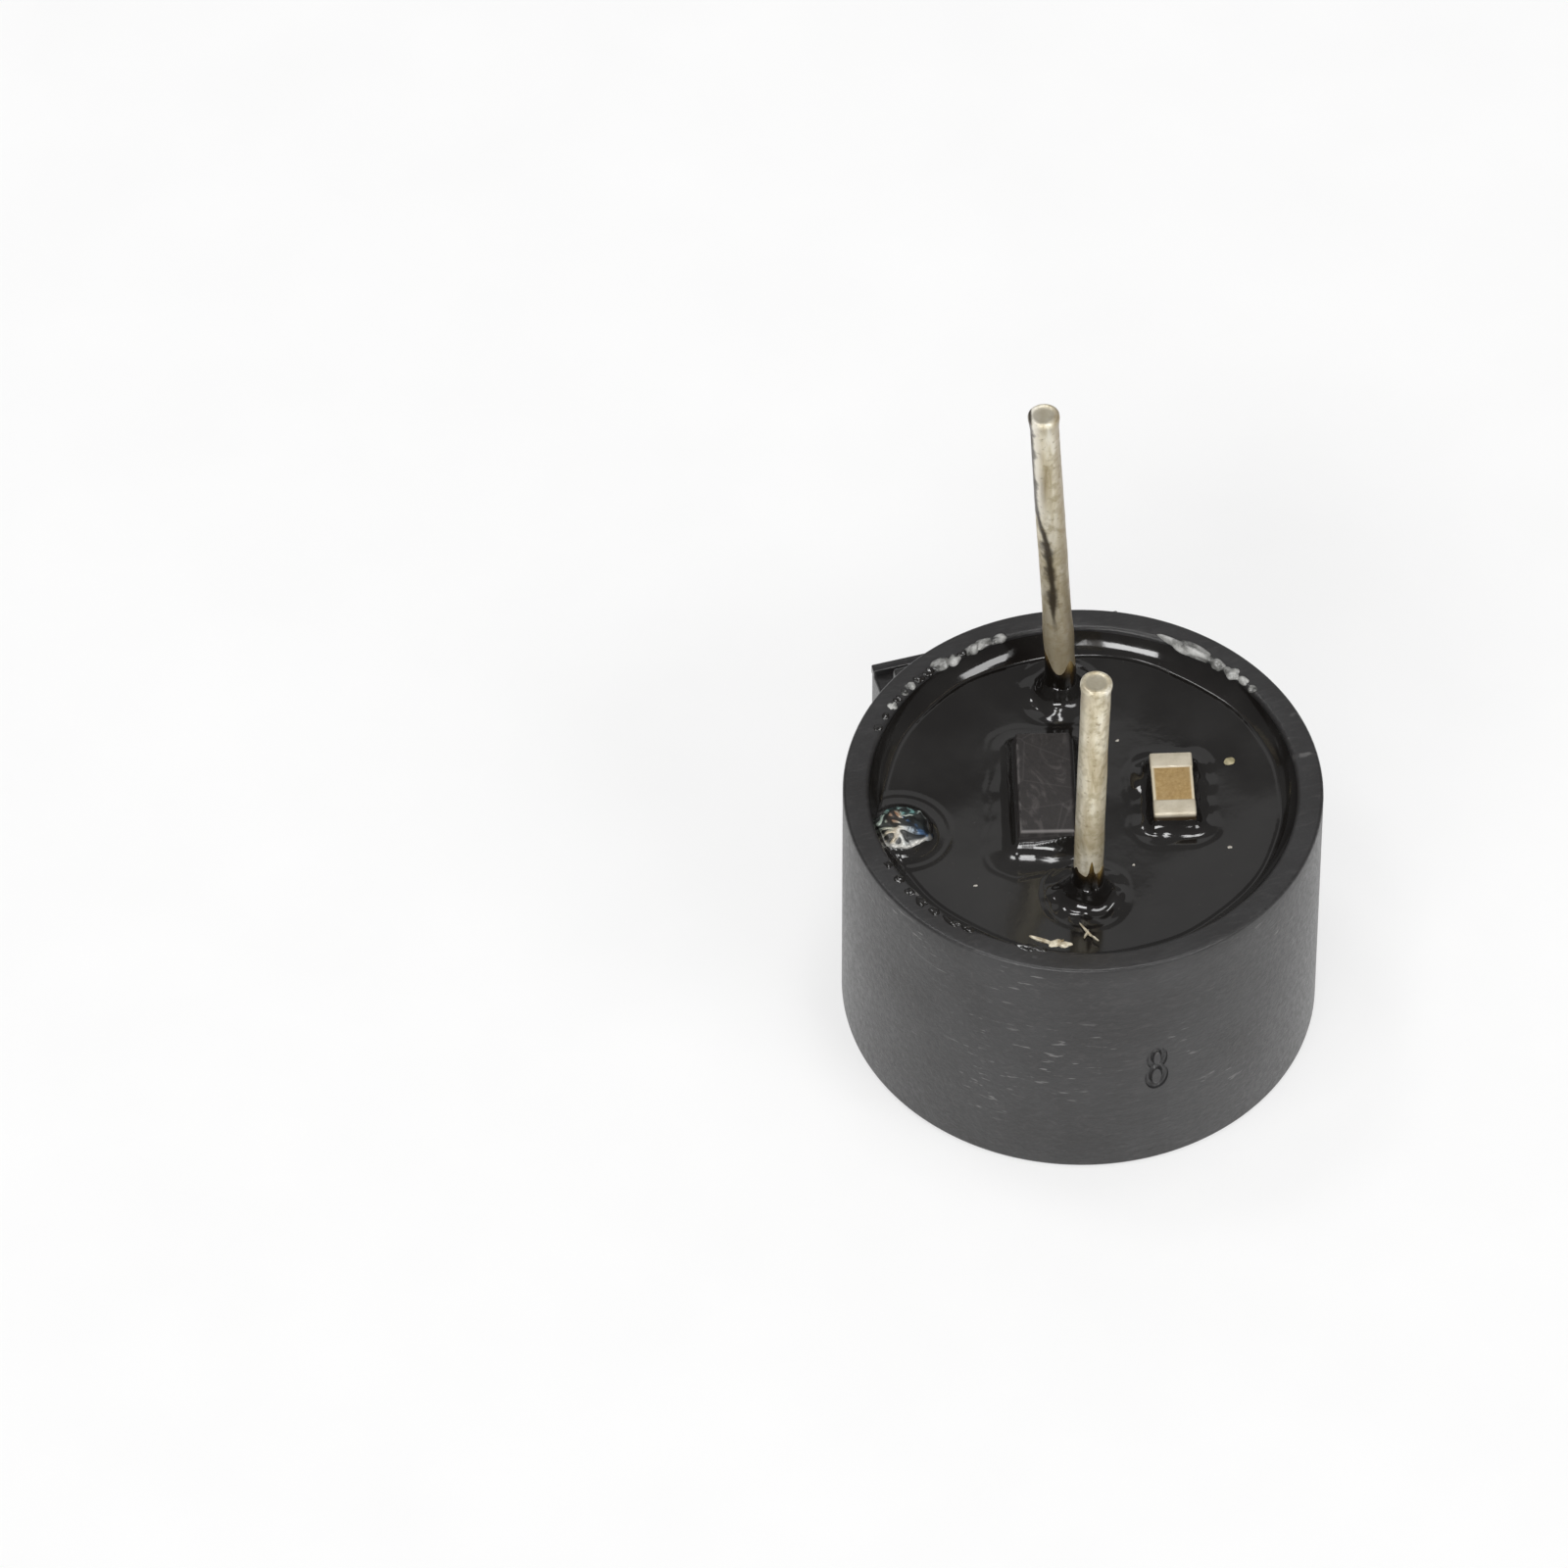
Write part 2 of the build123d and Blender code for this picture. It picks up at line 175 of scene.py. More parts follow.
def solid(name, points, faces):
    """Mesh in metres with doubled points joined and its faces turned outwards."""
    mesh = bpy.data.meshes.new(name)
    mesh.from_pydata((np.asarray(points, float) * MM).tolist(), [], faces)
    form = bmesh.new()
    form.from_mesh(mesh)
    bmesh.ops.remove_doubles(form, verts=form.verts, dist=1e-7)
    bmesh.ops.dissolve_degenerate(form, edges=form.edges, dist=1e-8)
    bmesh.ops.recalc_face_normals(form, faces=form.faces)
    form.to_mesh(mesh)
    form.free()
    return mesh


def joined(name, meshes):
    """One mesh from several."""
    form = bmesh.new()
    for mesh in meshes:
        form.from_mesh(mesh)
    out = bpy.data.meshes.new(name)
    form.to_mesh(out)
    form.free()
    return out


def block(low, high, bevel, place):
    """Block with rounded edges between two rectangles, each (half width, half length, level)."""
    points = []
    for half_x, half_y, level in (low, high):
        points += [(sx * half_x, sy * half_y, level) for sx, sy in ((-1, -1), (1, -1), (1, 1), (-1, 1))]
    faces = [(0, 1, 2, 3), (4, 5, 6, 7)] + [(i, (i + 1) % 4, 4 + (i + 1) % 4, 4 + i) for i in range(4)]
    mesh = solid("block", points, faces)
    form = bmesh.new()
    form.from_mesh(mesh)
    bmesh.ops.bevel(form, geom=form.edges[:], offset=bevel * MM, segments=4, profile=0.5, affect="EDGES")
    moved = place.copy()
    moved.translation *= MM
    bmesh.ops.transform(form, matrix=moved, verts=form.verts)
    form.to_mesh(mesh)
    form.free()
    return mesh


def blob(place, sizes, axes, seed, rough):
    """Lump with an uneven skin: half sizes along three axes."""
    form = bmesh.new()
    bmesh.ops.create_icosphere(form, subdivisions=4, radius=1.0)
    bump = waves(seed, 7, 0.9, 2.4)
    lean = waves(seed + 50, 5, 1.0, 2.2)
    for vert in form.verts:
        x, y, z = vert.co
        swell = 1 + rough * (0.6 * float(bump(x, y)) + 0.4 * float(lean(z, x)))
        local = [c * s * swell for c, s in zip(vert.co, sizes)]
        vert.co = sum((Vector(axis) * part for axis, part in zip(axes, local)), Vector(place)) * MM
    mesh = bpy.data.meshes.new("blob")
    form.to_mesh(mesh)
    form.free()
    return mesh


def shown(name, data):
    """A new object in the scene."""
    thing = bpy.data.objects.new(name, data)
    bpy.context.scene.collection.objects.link(thing)
    return thing


def cut(mesh, tool_mesh):
    """The mesh with another taken out of it."""
    body, tool = shown("cut_body", mesh), shown("cut_tool", tool_mesh)
    change = body.modifiers.new("cut", "BOOLEAN")
    change.operation, change.solver, change.object = "DIFFERENCE", "EXACT", tool
    bpy.context.view_layer.update()
    done = bpy.data.meshes.new_from_object(body.evaluated_get(bpy.context.evaluated_depsgraph_get()))
    bpy.data.objects.remove(body)
    bpy.data.objects.remove(tool)
    return done


def dress(name, mesh, slot, material, *nodes, sharp=35):
    """Puts a mesh into the scene as a piece that rides on the part, standing for the given nodes."""
    mesh.materials.clear()
    mesh.materials.append(material)
    mesh.shade_smooth()
    mesh.set_sharp_from_angle(angle=math.radians(sharp))
    piece = shown(name, mesh)
    if nodes:
        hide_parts(*nodes)
    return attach(piece, "root")


# Materials

class Look:
    """A material, with short calls for the nodes that feed its shader. Its textures work in millimetres."""

    def __init__(self, name, **sockets):
        self.material = bpy.data.materials.new(name)
        self.material.use_nodes = True
        self.nodes, self.links = self.material.node_tree.nodes, self.material.node_tree.links
        self.shader = self.nodes["Principled BSDF"]
        for key, value in sockets.items():
            self.shader.inputs[key.replace("_", " ")].default_value = value
        self.where = self.nodes.new("ShaderNodeTexCoord").outputs["Object"]

    def feed(self, node, values):
        for key, value in values.items():
            if isinstance(value, bpy.types.NodeSocket):
                self.links.new(value, node.inputs[key])
            else:
                node.inputs[key].default_value = value
        return node

    def at(self, scale=(1, 1, 1), turn=(0, 0, 0), shift=(0, 0, 0)):
        """Coordinates in millimetres, moved, turned and stretched."""
        moved = self.nodes.new("ShaderNodeVectorMath")
        moved.operation = "MULTIPLY_ADD"
        self.feed(moved, {0: self.where, 1: (1000, 1000, 1000), 2: shift})
        place = self.nodes.new("ShaderNodeMapping")
        self.feed(place, {"Vector": moved.outputs[0], "Rotation": turn, "Scale": scale})
        return place.outputs[0]

    def noise(self, scale, detail=4.0, rough=0.55, stretch=(1, 1, 1), turn=(0, 0, 0), warp=0.0):
        node = self.nodes.new("ShaderNodeTexNoise")
        self.feed(node, {"Vector": self.at(stretch, turn), "Scale": scale, "Detail": detail,
                         "Roughness": rough, "Distortion": warp})
        return node.outputs["Fac"]

    def cell_edges(self, scale):
        """Distance from the edges of irregular cells."""
        node = self.nodes.new("ShaderNodeTexVoronoi")
        node.feature = "DISTANCE_TO_EDGE"
        self.feed(node, {"Vector": self.at(), "Scale": scale})
        return node.outputs["Distance"]

    def axis(self, which, shift=(0, 0, 0), turn=(0, 0, 0)):
        """One coordinate in millimetres."""
        node = self.nodes.new("ShaderNodeSeparateXYZ")
        self.feed(node, {0: self.at(turn=turn, shift=shift)})
        return node.outputs[which]

    def reach(self, point):
        """Distance from a point in millimetres."""
        node = self.nodes.new("ShaderNodeVectorMath")
        node.operation = "DISTANCE"
        self.feed(node, {0: self.at(), 1: point})
        return node.outputs["Value"]

    def view_axis(self, which, place):
        """Distance from a place to the camera's right (0) or away from it (1)."""
        return self.axis(which, (-place[0], -place[1], 0), (0, 0, -AZIMUTH))

    def part_axis(self, which, part):
        """Distance from a small part's middle, across it (0) or along it (1)."""
        return self.axis(which, (-part[0], -part[1], 0), (0, 0, -math.radians(part[2])))

    def spread(self, value, low, high, out_low=0.0, out_high=1.0):
        """A value from low to high as one from out_low to out_high, held at both ends."""
        node = self.nodes.new("ShaderNodeMapRange")
        node.interpolation_type = "SMOOTHSTEP"
        self.feed(node, {"Value": value, "From Min": low, "From Max": high,
                         "To Min": out_low, "To Max": out_high})
        return node.outputs[0]

    def maths(self, kind, a, b=0.0):
        node = self.nodes.new("ShaderNodeMath")
        node.operation = kind
        self.feed(node, {0: a, 1: b})
        return node.outputs[0]

    def times(self, a, b):
        return self.maths("MULTIPLY", a, b)

    def ramp(self, value, *stops):
        node = self.nodes.new("ShaderNodeValToRGB")
        parts = node.color_ramp.elements
        while len(parts) < len(stops):
            parts.new(1.0)
        for part, (place, colour) in zip(parts, stops):
            part.position = place
            part.color = (*colour, 1.0) if isinstance(colour, tuple) else (colour, colour, colour, 1.0)
        self.links.new(value, node.inputs[0])
        return node.outputs[0]

    def mix(self, share, a, b):
        node = self.nodes.new("ShaderNodeMix")
        node.data_type = "RGBA"
        for socket, value in ((node.inputs[0], share), (node.inputs[6], a), (node.inputs[7], b)):
            if isinstance(value, bpy.types.NodeSocket):
                self.links.new(value, socket)
            else:
                socket.default_value = (*value, 1.0) if isinstance(value, tuple) else value
        return node.outputs[2]

    def bump(self, height, depth, strength):
        """Adds relief of a given depth in millimetres on top of what is there."""
        node = self.nodes.new("ShaderNodeBump")
        self.feed(node, {"Height": height, "Distance": depth * MM, "Strength": strength})
        target = self.shader.inputs["Normal"]
        if target.links:
            self.links.new(target.links[0].from_socket, node.inputs["Normal"])
        self.links.new(node.outputs[0], target)

    def rough(self, value, low, high):
        """Roughness from low to high over the middle of a texture's range."""
        self.set(Roughness=self.spread(value, 0.3, 0.7, low, high))

    def set(self, **sockets):
        for key, value in sockets.items():
            self.links.new(value, self.shader.inputs[key.replace("_", " ")])
        return self


def moulded_black():
    """Satin black plastic with fine grain and, in patches, short pale scuffs; smoother on the nozzle."""
    look = Look("housing_plastic", IOR=1.5)
    grain = look.noise(9.0, 6.0, 0.65)
    fibres = look.noise(7.0, 5.0, 0.6, stretch=(0.35, 1.6, 1.0), turn=(0, 0, 0.5), warp=0.8)
    clouds = look.noise(0.55, 3.0)
    scuffs = look.noise(5.0, 2.0, 0.5, stretch=(0.5, 0.5, 2.6), turn=(0.3, 0.35, 0))
    patch = look.spread(look.noise(0.5, 2.0), 0.54, 0.68)
    middle = look.spread(look.reach((-1.75, -4.15, 3.1)), 0.5, 1.7, 1.0, 0.0)
    marks = look.times(look.spread(scuffs, 0.62, 0.7), look.maths("MAXIMUM", patch, middle))
    black = look.mix(look.spread(clouds, 0.3, 0.7), (0.0175, 0.0165, 0.0165), (0.027, 0.0265, 0.027))
    black = look.mix(look.times(look.spread(fibres, 0.5, 0.75), 0.5), black, (0.05, 0.047, 0.046))
    look.set(Base_Color=look.mix(look.times(marks, 0.6), black, (0.2, 0.195, 0.19)))
    smooth = look.spread(look.axis(1), 4.45, 4.65, 1.0, 0.4)
    look.set(Roughness=look.times(look.spread(grain, 0.25, 0.75, 0.28, 0.43), smooth))
    look.bump(grain, 0.012, 0.5)
    look.bump(fibres, 0.02, 0.35)
    return look.material


def potting_resin():
    """Glossy cast black resin with faint clouding and dust."""
    look = Look("potting_resin", IOR=1.58)
    haze = look.noise(0.7, 3.0, 0.5)
    dust = look.spread(look.noise(14.0, 2.0), 0.7, 0.78)
    tone = look.mix(look.spread(haze, 0.3, 0.7), (0.0072, 0.0061, 0.0054), (0.0132, 0.0122, 0.0112))
    look.set(Base_Color=look.mix(look.times(dust, 0.35), tone, (0.06, 0.055, 0.05)))
    look.set(Roughness=look.spread(haze, 0.3, 0.75, 0.06, 0.14))
    look.bump(look.noise(1.6, 4.0, 0.5), 0.01, 0.4)
    return look.material


def crumbs_with_painted_glints():
    """Cloudy resin that was left on the rim, greyer and rougher than the rest; its pale tones are partly
    painted highlight.
    """
    look = Look("crumbs_with_painted_glints", IOR=1.55)
    cloud = look.noise(3.2, 4.0, 0.6)
    # Partly painted highlight: the pale grey tones stand for glints on the lumps.
    look.set(Base_Color=look.ramp(cloud, (0.34, (0.03, 0.03, 0.028)), (0.46, (0.2, 0.2, 0.19)),
                                  (0.66, (0.48, 0.48, 0.46))))
    look.rough(cloud, 0.16, 0.34)
    look.bump(look.noise(7.0, 3.0), 0.02, 0.6)
    return look.material


def resin_film(name, base, low, high):
    """Thin resin on a pin: black where it is thick, golden brown at its upper edge and on the right."""
    look = Look(name, IOR=1.5)
    runs = look.noise(3.4, 4.0, 0.6, stretch=(1, 1, 0.35))
    level = look.maths("ADD", look.axis(2), runs)
    level = look.maths("ADD", level, look.spread(look.view_axis(0, base), 0.0, 0.25, 0.0, 0.3))
    share = look.spread(level, low + 0.5, high + 0.5)
    look.set(Base_Color=look.ramp(share, (0.0, (0.005, 0.004, 0.003)), (0.4, (0.03, 0.018, 0.006)),
                                  (0.75, (0.13, 0.085, 0.025)), (1.0, (0.28, 0.21, 0.1))))
    look.rough(runs, 0.1, 0.25)
    look.bump(look.noise(5.0, 3.0), 0.01, 0.4)
    return look.material


def tinned_pin(name, pin, streak, shadow, line):
    """Warm, uneven solder dip: brown streaks, a dark line, a brown right edge and a dull grey end.

    The dark line runs up the middle from the streak's lower level and moves to the left edge at its upper
    one, where it is painted shade; above that level the left side is pale, which is a painted highlight. The
    line's share says how strong that is. The shadow is how much darker the pin gets towards the resin.
    """
    look = Look(name, Metallic=0.34, IOR=1.5)
    leftwards = -pin.lean * math.cos(math.radians(pin.heading) - AZIMUTH)
    slope = math.tan(math.radians(leftwards))
    streaks = look.noise(2.6, 5.0, 0.6, stretch=(1, 1, 0.22), warp=0.6)
    mottle = look.noise(5.5, 4.0, 0.6)
    pits = look.spread(look.noise(11.0, 3.0), 0.62, 0.72)
    level = look.axis(2)
    across = look.maths("ADD", look.view_axis(0, pin.base), look.times(level, slope))
    across = look.maths("SUBTRACT", across, PIN_BEND * slope)
    wander = look.noise(1.0, 3.0, 0.5, stretch=(0.3, 0.3, 1))
    across = look.maths("ADD", across, look.times(look.maths("SUBTRACT", wander, 0.5), 0.1))
    tone = look.ramp(streaks, (0.3, (0.25, 0.19, 0.1)), (0.42, (0.48, 0.41, 0.27)),
                     (0.54, (0.66, 0.6, 0.45)), (0.68, (0.84, 0.8, 0.68)))
    tone = look.mix(look.spread(mottle, 0.46, 0.64, 0.0, 0.6), tone, (0.36, 0.3, 0.18))
    low, high = streak
    # Painted highlight: above the streak's upper level the left side of the pin is painted pale.
    upper = look.spread(level, high - 0.1, high + 0.4)
    pale = look.times(upper, look.spread(across, -0.2, 0.0, line * 0.75, 0.0))
    tone = look.mix(pale, tone, (0.9, 0.87, 0.78))
    tone = look.mix(look.spread(across, 0.08, 0.26, 0.0, 0.75 * line), tone, (0.26, 0.2, 0.12))
    tone = look.mix(look.spread(level, 6.2, high + 1.2, shadow, 0.0), tone, (0.26, 0.21, 0.13))
    # The dark line: a streak up the middle, and painted shade where it moves to the left edge.
    streak_and_edge_shade = look.times(look.spread(level, low, low + 0.9), line)
    offset = look.maths("ADD", across, look.spread(level, high - 0.9, high + 0.5, 0.05, 0.26))
    ragged = look.noise(2.4, 4.0, 0.6, stretch=(0.8, 0.8, 1))
    thin = look.spread(level, low + 0.4, low + 1.6, 2.0, 1.0)
    thin = look.times(thin, look.spread(level, high - 0.5, high, 1.0, 1.7))
    thin = look.times(thin, look.spread(ragged, 0.3, 0.7, 0.6, 1.9))
    offset = look.times(look.maths("ABSOLUTE", offset), thin)
    streak_and_edge_shade = look.times(streak_and_edge_shade, look.spread(offset, 0.03, 0.16, 1.0, 0.0))
    tone = look.mix(streak_and_edge_shade, tone, (0.03, 0.02, 0.011))
    tone = look.mix(look.times(pits, 0.5), tone, (0.2, 0.15, 0.08))
    away = slope * (pin.top - PIN_BEND)
    end = (pin.base[0] - RIGHT.x * away, pin.base[1] - RIGHT.y * away, pin.top)
    dull_end = look.spread(look.reach(end), 0.17, 0.23, 0.8, 0.0)
    look.set(Base_Color=look.mix(dull_end, tone, (0.34, 0.31, 0.24)))
    look.rough(mottle, 0.28, 0.48)
    look.bump(mottle, 0.014, 0.6)
    look.bump(streaks, 0.02, 0.5)
    return look.material


def solder_bead():
    """Crinkled solder with dark folds, painted shade in the hollows of its relief: pale in front, teal
    behind, copper on top and dark on the right. The pale collar in front is a painted highlight.
    """
    look = Look("solder_bead", Metallic=0.25)
    crinkle = look.noise(4.0, 3.0, warp=0.8)
    turn = look.maths("ARCTAN2", look.view_axis(1, BEAD), look.view_axis(0, BEAD))
    bent = look.maths("ADD", turn, look.times(look.maths("SUBTRACT", crinkle, 0.5), 1.2))
    share = look.spread(bent, -math.pi, math.pi)
    tone = look.ramp(share, (0.0, (0.33, 0.39, 0.34)), (0.08, (0.4, 0.34, 0.25)), (0.17, (0.52, 0.52, 0.49)),
                     (0.27, (0.38, 0.44, 0.49)), (0.35, (0.06, 0.13, 0.26)), (0.43, (0.015, 0.02, 0.025)),
                     (0.55, (0.03, 0.04, 0.035)), (0.62, (0.55, 0.6, 0.55)), (0.72, (0.16, 0.36, 0.34)),
                     (0.84, (0.42, 0.58, 0.54)), (0.93, (0.14, 0.32, 0.29)), (1.0, (0.33, 0.39, 0.34)))
    strokes = look.maths("SINE", look.times(bent, 10.0))
    strokes = look.times(look.spread(strokes, -0.1, 0.4), look.spread(share, 0.38, 0.48, 0.0, 0.85))
    tone = look.mix(strokes, tone, (0.012, 0.014, 0.014))
    copper = look.spread(look.reach((BEAD[0] - 0.15, BEAD[1] + 0.05, 5.68)), 0.08, 0.2, 0.75, 0.0)
    tone = look.mix(copper, tone, (0.36, 0.17, 0.09))
    swirl = look.maths("SINE", look.times(look.noise(1.7, 1.5, 0.4, warp=1.2), 34.0))
    # Painted shade: the hollows of the swirled relief, which the bump below raises, are painted dark.
    hollow_shade = look.spread(swirl, -0.55, 0.1, 0.95, 0.0)
    folds = look.maths("MAXIMUM", hollow_shade, look.spread(look.noise(4.6, 2.0, warp=1.6), 0.56, 0.66, 0.0, 0.8))
    tone = look.mix(folds, tone, (0.015, 0.016, 0.016))
    # Painted highlight: the collar low at the front of the bead is painted pale.
    collar = look.spread(look.maths("ABSOLUTE", look.maths("ADD", turn, math.pi / 2)), 0.9, 1.3, 1.0, 0.0)
    collar = look.times(collar, look.spread(look.axis(2), 5.41, 5.47, 1.0, 0.0))
    look.set(Base_Color=look.mix(collar, tone, (0.62, 0.61, 0.57)))
    look.rough(crinkle, 0.3, 0.45)
    look.bump(swirl, 0.02, 0.6)
    look.bump(look.noise(7.0, 3.0), 0.015, 0.4)
    return look.material


def solder():
    """Dull reflowed solder."""
    look = Look("solder", Metallic=0.8)
    tone = look.noise(3.0, 4.0)
    look.set(Base_Color=look.ramp(tone, (0.3, (0.42, 0.4, 0.36)), (0.7, (0.72, 0.69, 0.61))))
    look.rough(tone, 0.28, 0.45)
    look.bump(look.noise(6.0, 3.0), 0.01, 0.4)
    return look.material


def mould_compound():
    """Matte dark brownish black with faint pale scuffs on top, worn left and back edges, and a pale front
    edge that is partly wear and partly a painted highlight on its bevel.
    """
    look = Look("mould_compound", IOR=1.45)
    grain = look.noise(13.0, 5.0, 0.65)
    scuff = look.noise(1.5, 4.0, 0.6, stretch=(1, 0.6, 1), turn=(0, 0, 0.5), warp=2.2)
    lines = look.spread(look.cell_edges(1.1), 0.0, 0.03, 1.0, 0.0)
    along = look.part_axis(1, TRANSISTOR)
    # Partly painted highlight: a pale line along the front edge of the top, where its bevel catches the
    # light.
    edge = look.times(look.spread(along, -1.225, -1.17, 0.75, 0.0), look.spread(look.axis(2), 5.64, 5.7))
    tone = look.ramp(grain, (0.3, (0.0145, 0.0125, 0.012)), (0.7, (0.028, 0.0245, 0.0235)))
    tone = look.mix(look.spread(scuff, 0.5, 0.66, 0.0, 0.6), tone, (0.07, 0.062, 0.06))
    tone = look.mix(look.times(lines, 0.16), tone, (0.1, 0.09, 0.088))
    left = look.spread(look.part_axis(0, TRANSISTOR), -0.51, -0.45, 0.5, 0.0)
    worn = look.maths("MAXIMUM", left, look.spread(along, 1.17, 1.22, 0.0, 0.5))
    worn = look.times(worn, look.spread(scuff, 0.4, 0.6))
    worn = look.times(worn, look.spread(look.axis(2), 5.64, 5.7))
    look.set(Base_Color=look.mix(look.maths("MAXIMUM", edge, worn), tone, (0.22, 0.205, 0.2)))
    look.rough(grain, 0.5, 0.68)
    look.bump(grain, 0.012, 0.6)
    look.bump(scuff, 0.02, 0.3)
    return look.material


def capacitor_ceramic():
    """Fired tan ceramic with fine specks, paler along its long edges as a painted highlight on their bevels,
    and dark brown low down as a painted reflection of the resin.
    """
    look = Look("capacitor_ceramic", IOR=1.55)
    speck = look.noise(16.0, 4.0, 0.6)
    cloud = look.noise(2.2, 3.0)
    across = look.maths("ABSOLUTE", look.part_axis(0, CAPACITOR))
    tone = look.ramp(speck, (0.3, (0.28, 0.175, 0.06)), (0.5, (0.36, 0.235, 0.086)),
                     (0.7, (0.43, 0.3, 0.125)))
    tone = look.mix(look.spread(cloud, 0.35, 0.7, 0.0, 0.35), tone, (0.3, 0.195, 0.08))
    # Painted highlight: a pale band along the long edges, where the bevels catch the light.
    tone = look.mix(look.spread(across, 0.315, 0.36), tone, (0.62, 0.55, 0.4))
    # Painted reflection: dark brown low down, where the dark resin shows in the sides.
    look.set(Base_Color=look.mix(look.spread(look.axis(2), 5.45, 5.56, 1.0, 0.0), tone, (0.05, 0.03, 0.012)))
    look.rough(speck, 0.32, 0.48)
    look.bump(speck, 0.008, 0.5)
    return look.material


def terminal_plating():
    """Satin cream-silver end caps, dark brown low down as a painted reflection of the resin."""
    look = Look("terminal_plating", Metallic=0.25, IOR=1.5)
    grain = look.noise(10.0, 4.0)
    cloud = look.noise(3.0, 3.0)
    tone = look.ramp(cloud, (0.3, (0.48, 0.42, 0.31)), (0.6, (0.62, 0.56, 0.44)))
    tone = look.mix(look.spread(grain, 0.55, 0.75, 0.0, 0.4), tone, (0.38, 0.33, 0.24))
    # Painted reflection: the caps are dark brown low down, where the dark resin is mirrored in them.
    painted_resin_reflection = look.spread(look.axis(2), 5.5, 5.585, 1.0, 0.0)
    look.set(Base_Color=look.mix(painted_resin_reflection, tone, (0.045, 0.028, 0.012)))
    look.rough(grain, 0.3, 0.46)
    look.bump(grain, 0.01, 0.5)
    return look.material


def dull(name, dark, light, roughness, scale, stretch=(1, 1, 1), relief=0.01, **sockets):
    """Plain material: two tones and a fine grain that may run one way."""
    look = Look(name, **sockets)
    grain = look.noise(scale, 5.0, 0.6, stretch=stretch)
    look.set(Base_Color=look.ramp(grain, (0.3, dark), (0.7, light)))
    look.rough(grain, roughness - 0.08, roughness + 0.08)
    look.bump(grain, relief, 0.5)
    return look.material


def metal(name, dark, light, roughness, stretch=(1, 1, 1)):
    """Plain worked metal."""
    return dull(name, dark, light, roughness, 4.0, stretch, 0.008, Metallic=1.0)


def winding():
    """Enamelled copper in turns one above the other."""
    look = Look("copper_wire", Metallic=1.0, Coat_Weight=0.5)
    turns = look.nodes.new("ShaderNodeTexWave")
    turns.bands_direction = "Z"
    look.feed(turns, {"Vector": look.at(), "Scale": 4.0, "Distortion": 0.5})
    look.set(Base_Color=look.ramp(turns.outputs["Fac"], (0.0, (0.3, 0.11, 0.04)), (0.7, (0.78, 0.38, 0.17))))
    look.rough(look.noise(5.0), 0.2, 0.35)
    look.bump(turns.outputs["Fac"], 0.03, 0.8)
    return look.material


# Housing

def box_distance(x, y, half_x, half_y, corner):
    """Distance to the outline of a rectangle about the origin, with rounded corners."""
    across = np.abs(x) - half_x + corner
    along = np.abs(y) - half_y + corner
    outside = np.hypot(np.maximum(across, 0), np.maximum(along, 0))
    return outside + np.minimum(np.maximum(across, along), 0) - corner


def blended(a, b, radius):
    """Union of two outlines with a round fillet where they meet."""
    bend = np.hypot(np.maximum(radius - a, 0), np.maximum(radius - b, 0))
    return np.maximum(radius, np.minimum(a, b)) - bend


def outline(angles, reach, corner, inset):
    """Radius of the cup with its nozzle or shoulder at each angle, less an inset, found by halving."""
    low, high = np.full(angles.shape, 0.75 * BORE_R), np.full(angles.shape, 2 * BORE_R)
    for _ in range(40):
        middle = (low + high) / 2
        x, y = middle * np.cos(angles), middle * np.sin(angles)
        box = box_distance(x, y - reach / 2, NOZZLE_HALF, reach / 2, corner)
        inside = blended(np.hypot(x, y) - HOUSING_R, box, ROOT_FILLET) + inset < 0
        low, high = np.where(inside, middle, low), np.where(inside, high, middle)
    return (low + high) / 2


def housing_mesh():
    """The cup, its nozzle, shoulder and stepped bore, with rounded edges and a slightly uneven rim."""
    even = np.radians(np.arange(0, 360, 1.0))
    close = np.radians(np.linspace(52, 72, 161))
    angles = np.unique(np.round(np.concatenate([even, close, np.pi - close]), 7))
    uneven = waves(3, 9, 0.9, 3.0)(RIM_MIDDLE * np.cos(angles), RIM_MIDDLE * np.sin(angles))
    nozzle = partial(outline, angles, NOZZLE_REACH, NOZZLE_CORNER)
    shoulder = partial(outline, angles, SHOULDER_REACH, SHOULDER_CORNER)
    root, full, bore = shoulder(0), np.full(angles.shape, HOUSING_R), np.full(angles.shape, BORE_R)
    turns = np.radians((0, 22.5, 45, 67.5, 90))
    steps = []
    for a in turns:
        steps.append((nozzle(FACE_EDGE * (1 - math.sin(a))), FACE_EDGE * (1 - math.cos(a))))
    for a in turns:
        side = np.maximum(root, nozzle(NOZZLE_EDGE * (1 - math.cos(a))))
        steps.append((side, NOZZLE_H - NOZZLE_EDGE * (1 - math.sin(a))))
    steps.append((root, NOZZLE_H))
    for a in turns:
        side = np.maximum(HOUSING_R, shoulder(SHOULDER_EDGE * (1 - math.cos(a))))
        steps.append((side, SHOULDER_H - SHOULDER_EDGE * (1 - math.sin(a))))
    steps.append((full, SHOULDER_H))
    for a in turns:
        steps.append((full - RIM_EDGE * (1 - math.cos(a)), HOUSING_H - RIM_EDGE * (1 - math.sin(a))))
    steps.append((full - RIM_FLAT, HOUSING_H - RIM_WEAR + RIM_WEAR * uneven))
    worn = BORE_WEAR * (1 + uneven)
    for a in turns:
        level = HOUSING_H - BORE_EDGE * (1 - math.cos(a)) - worn
        steps.append((bore + BORE_EDGE * (1 - math.sin(a)), level))
    steps += [(np.full(angles.shape, radius), level) for radius, level in BORE_STEPS]
    rings = [ring(radius, angles, level) for radius, level in steps]
    return solid("housing_shell", *loft(rings, (0, 0, 0), (0, 0, FACE_WALL)))


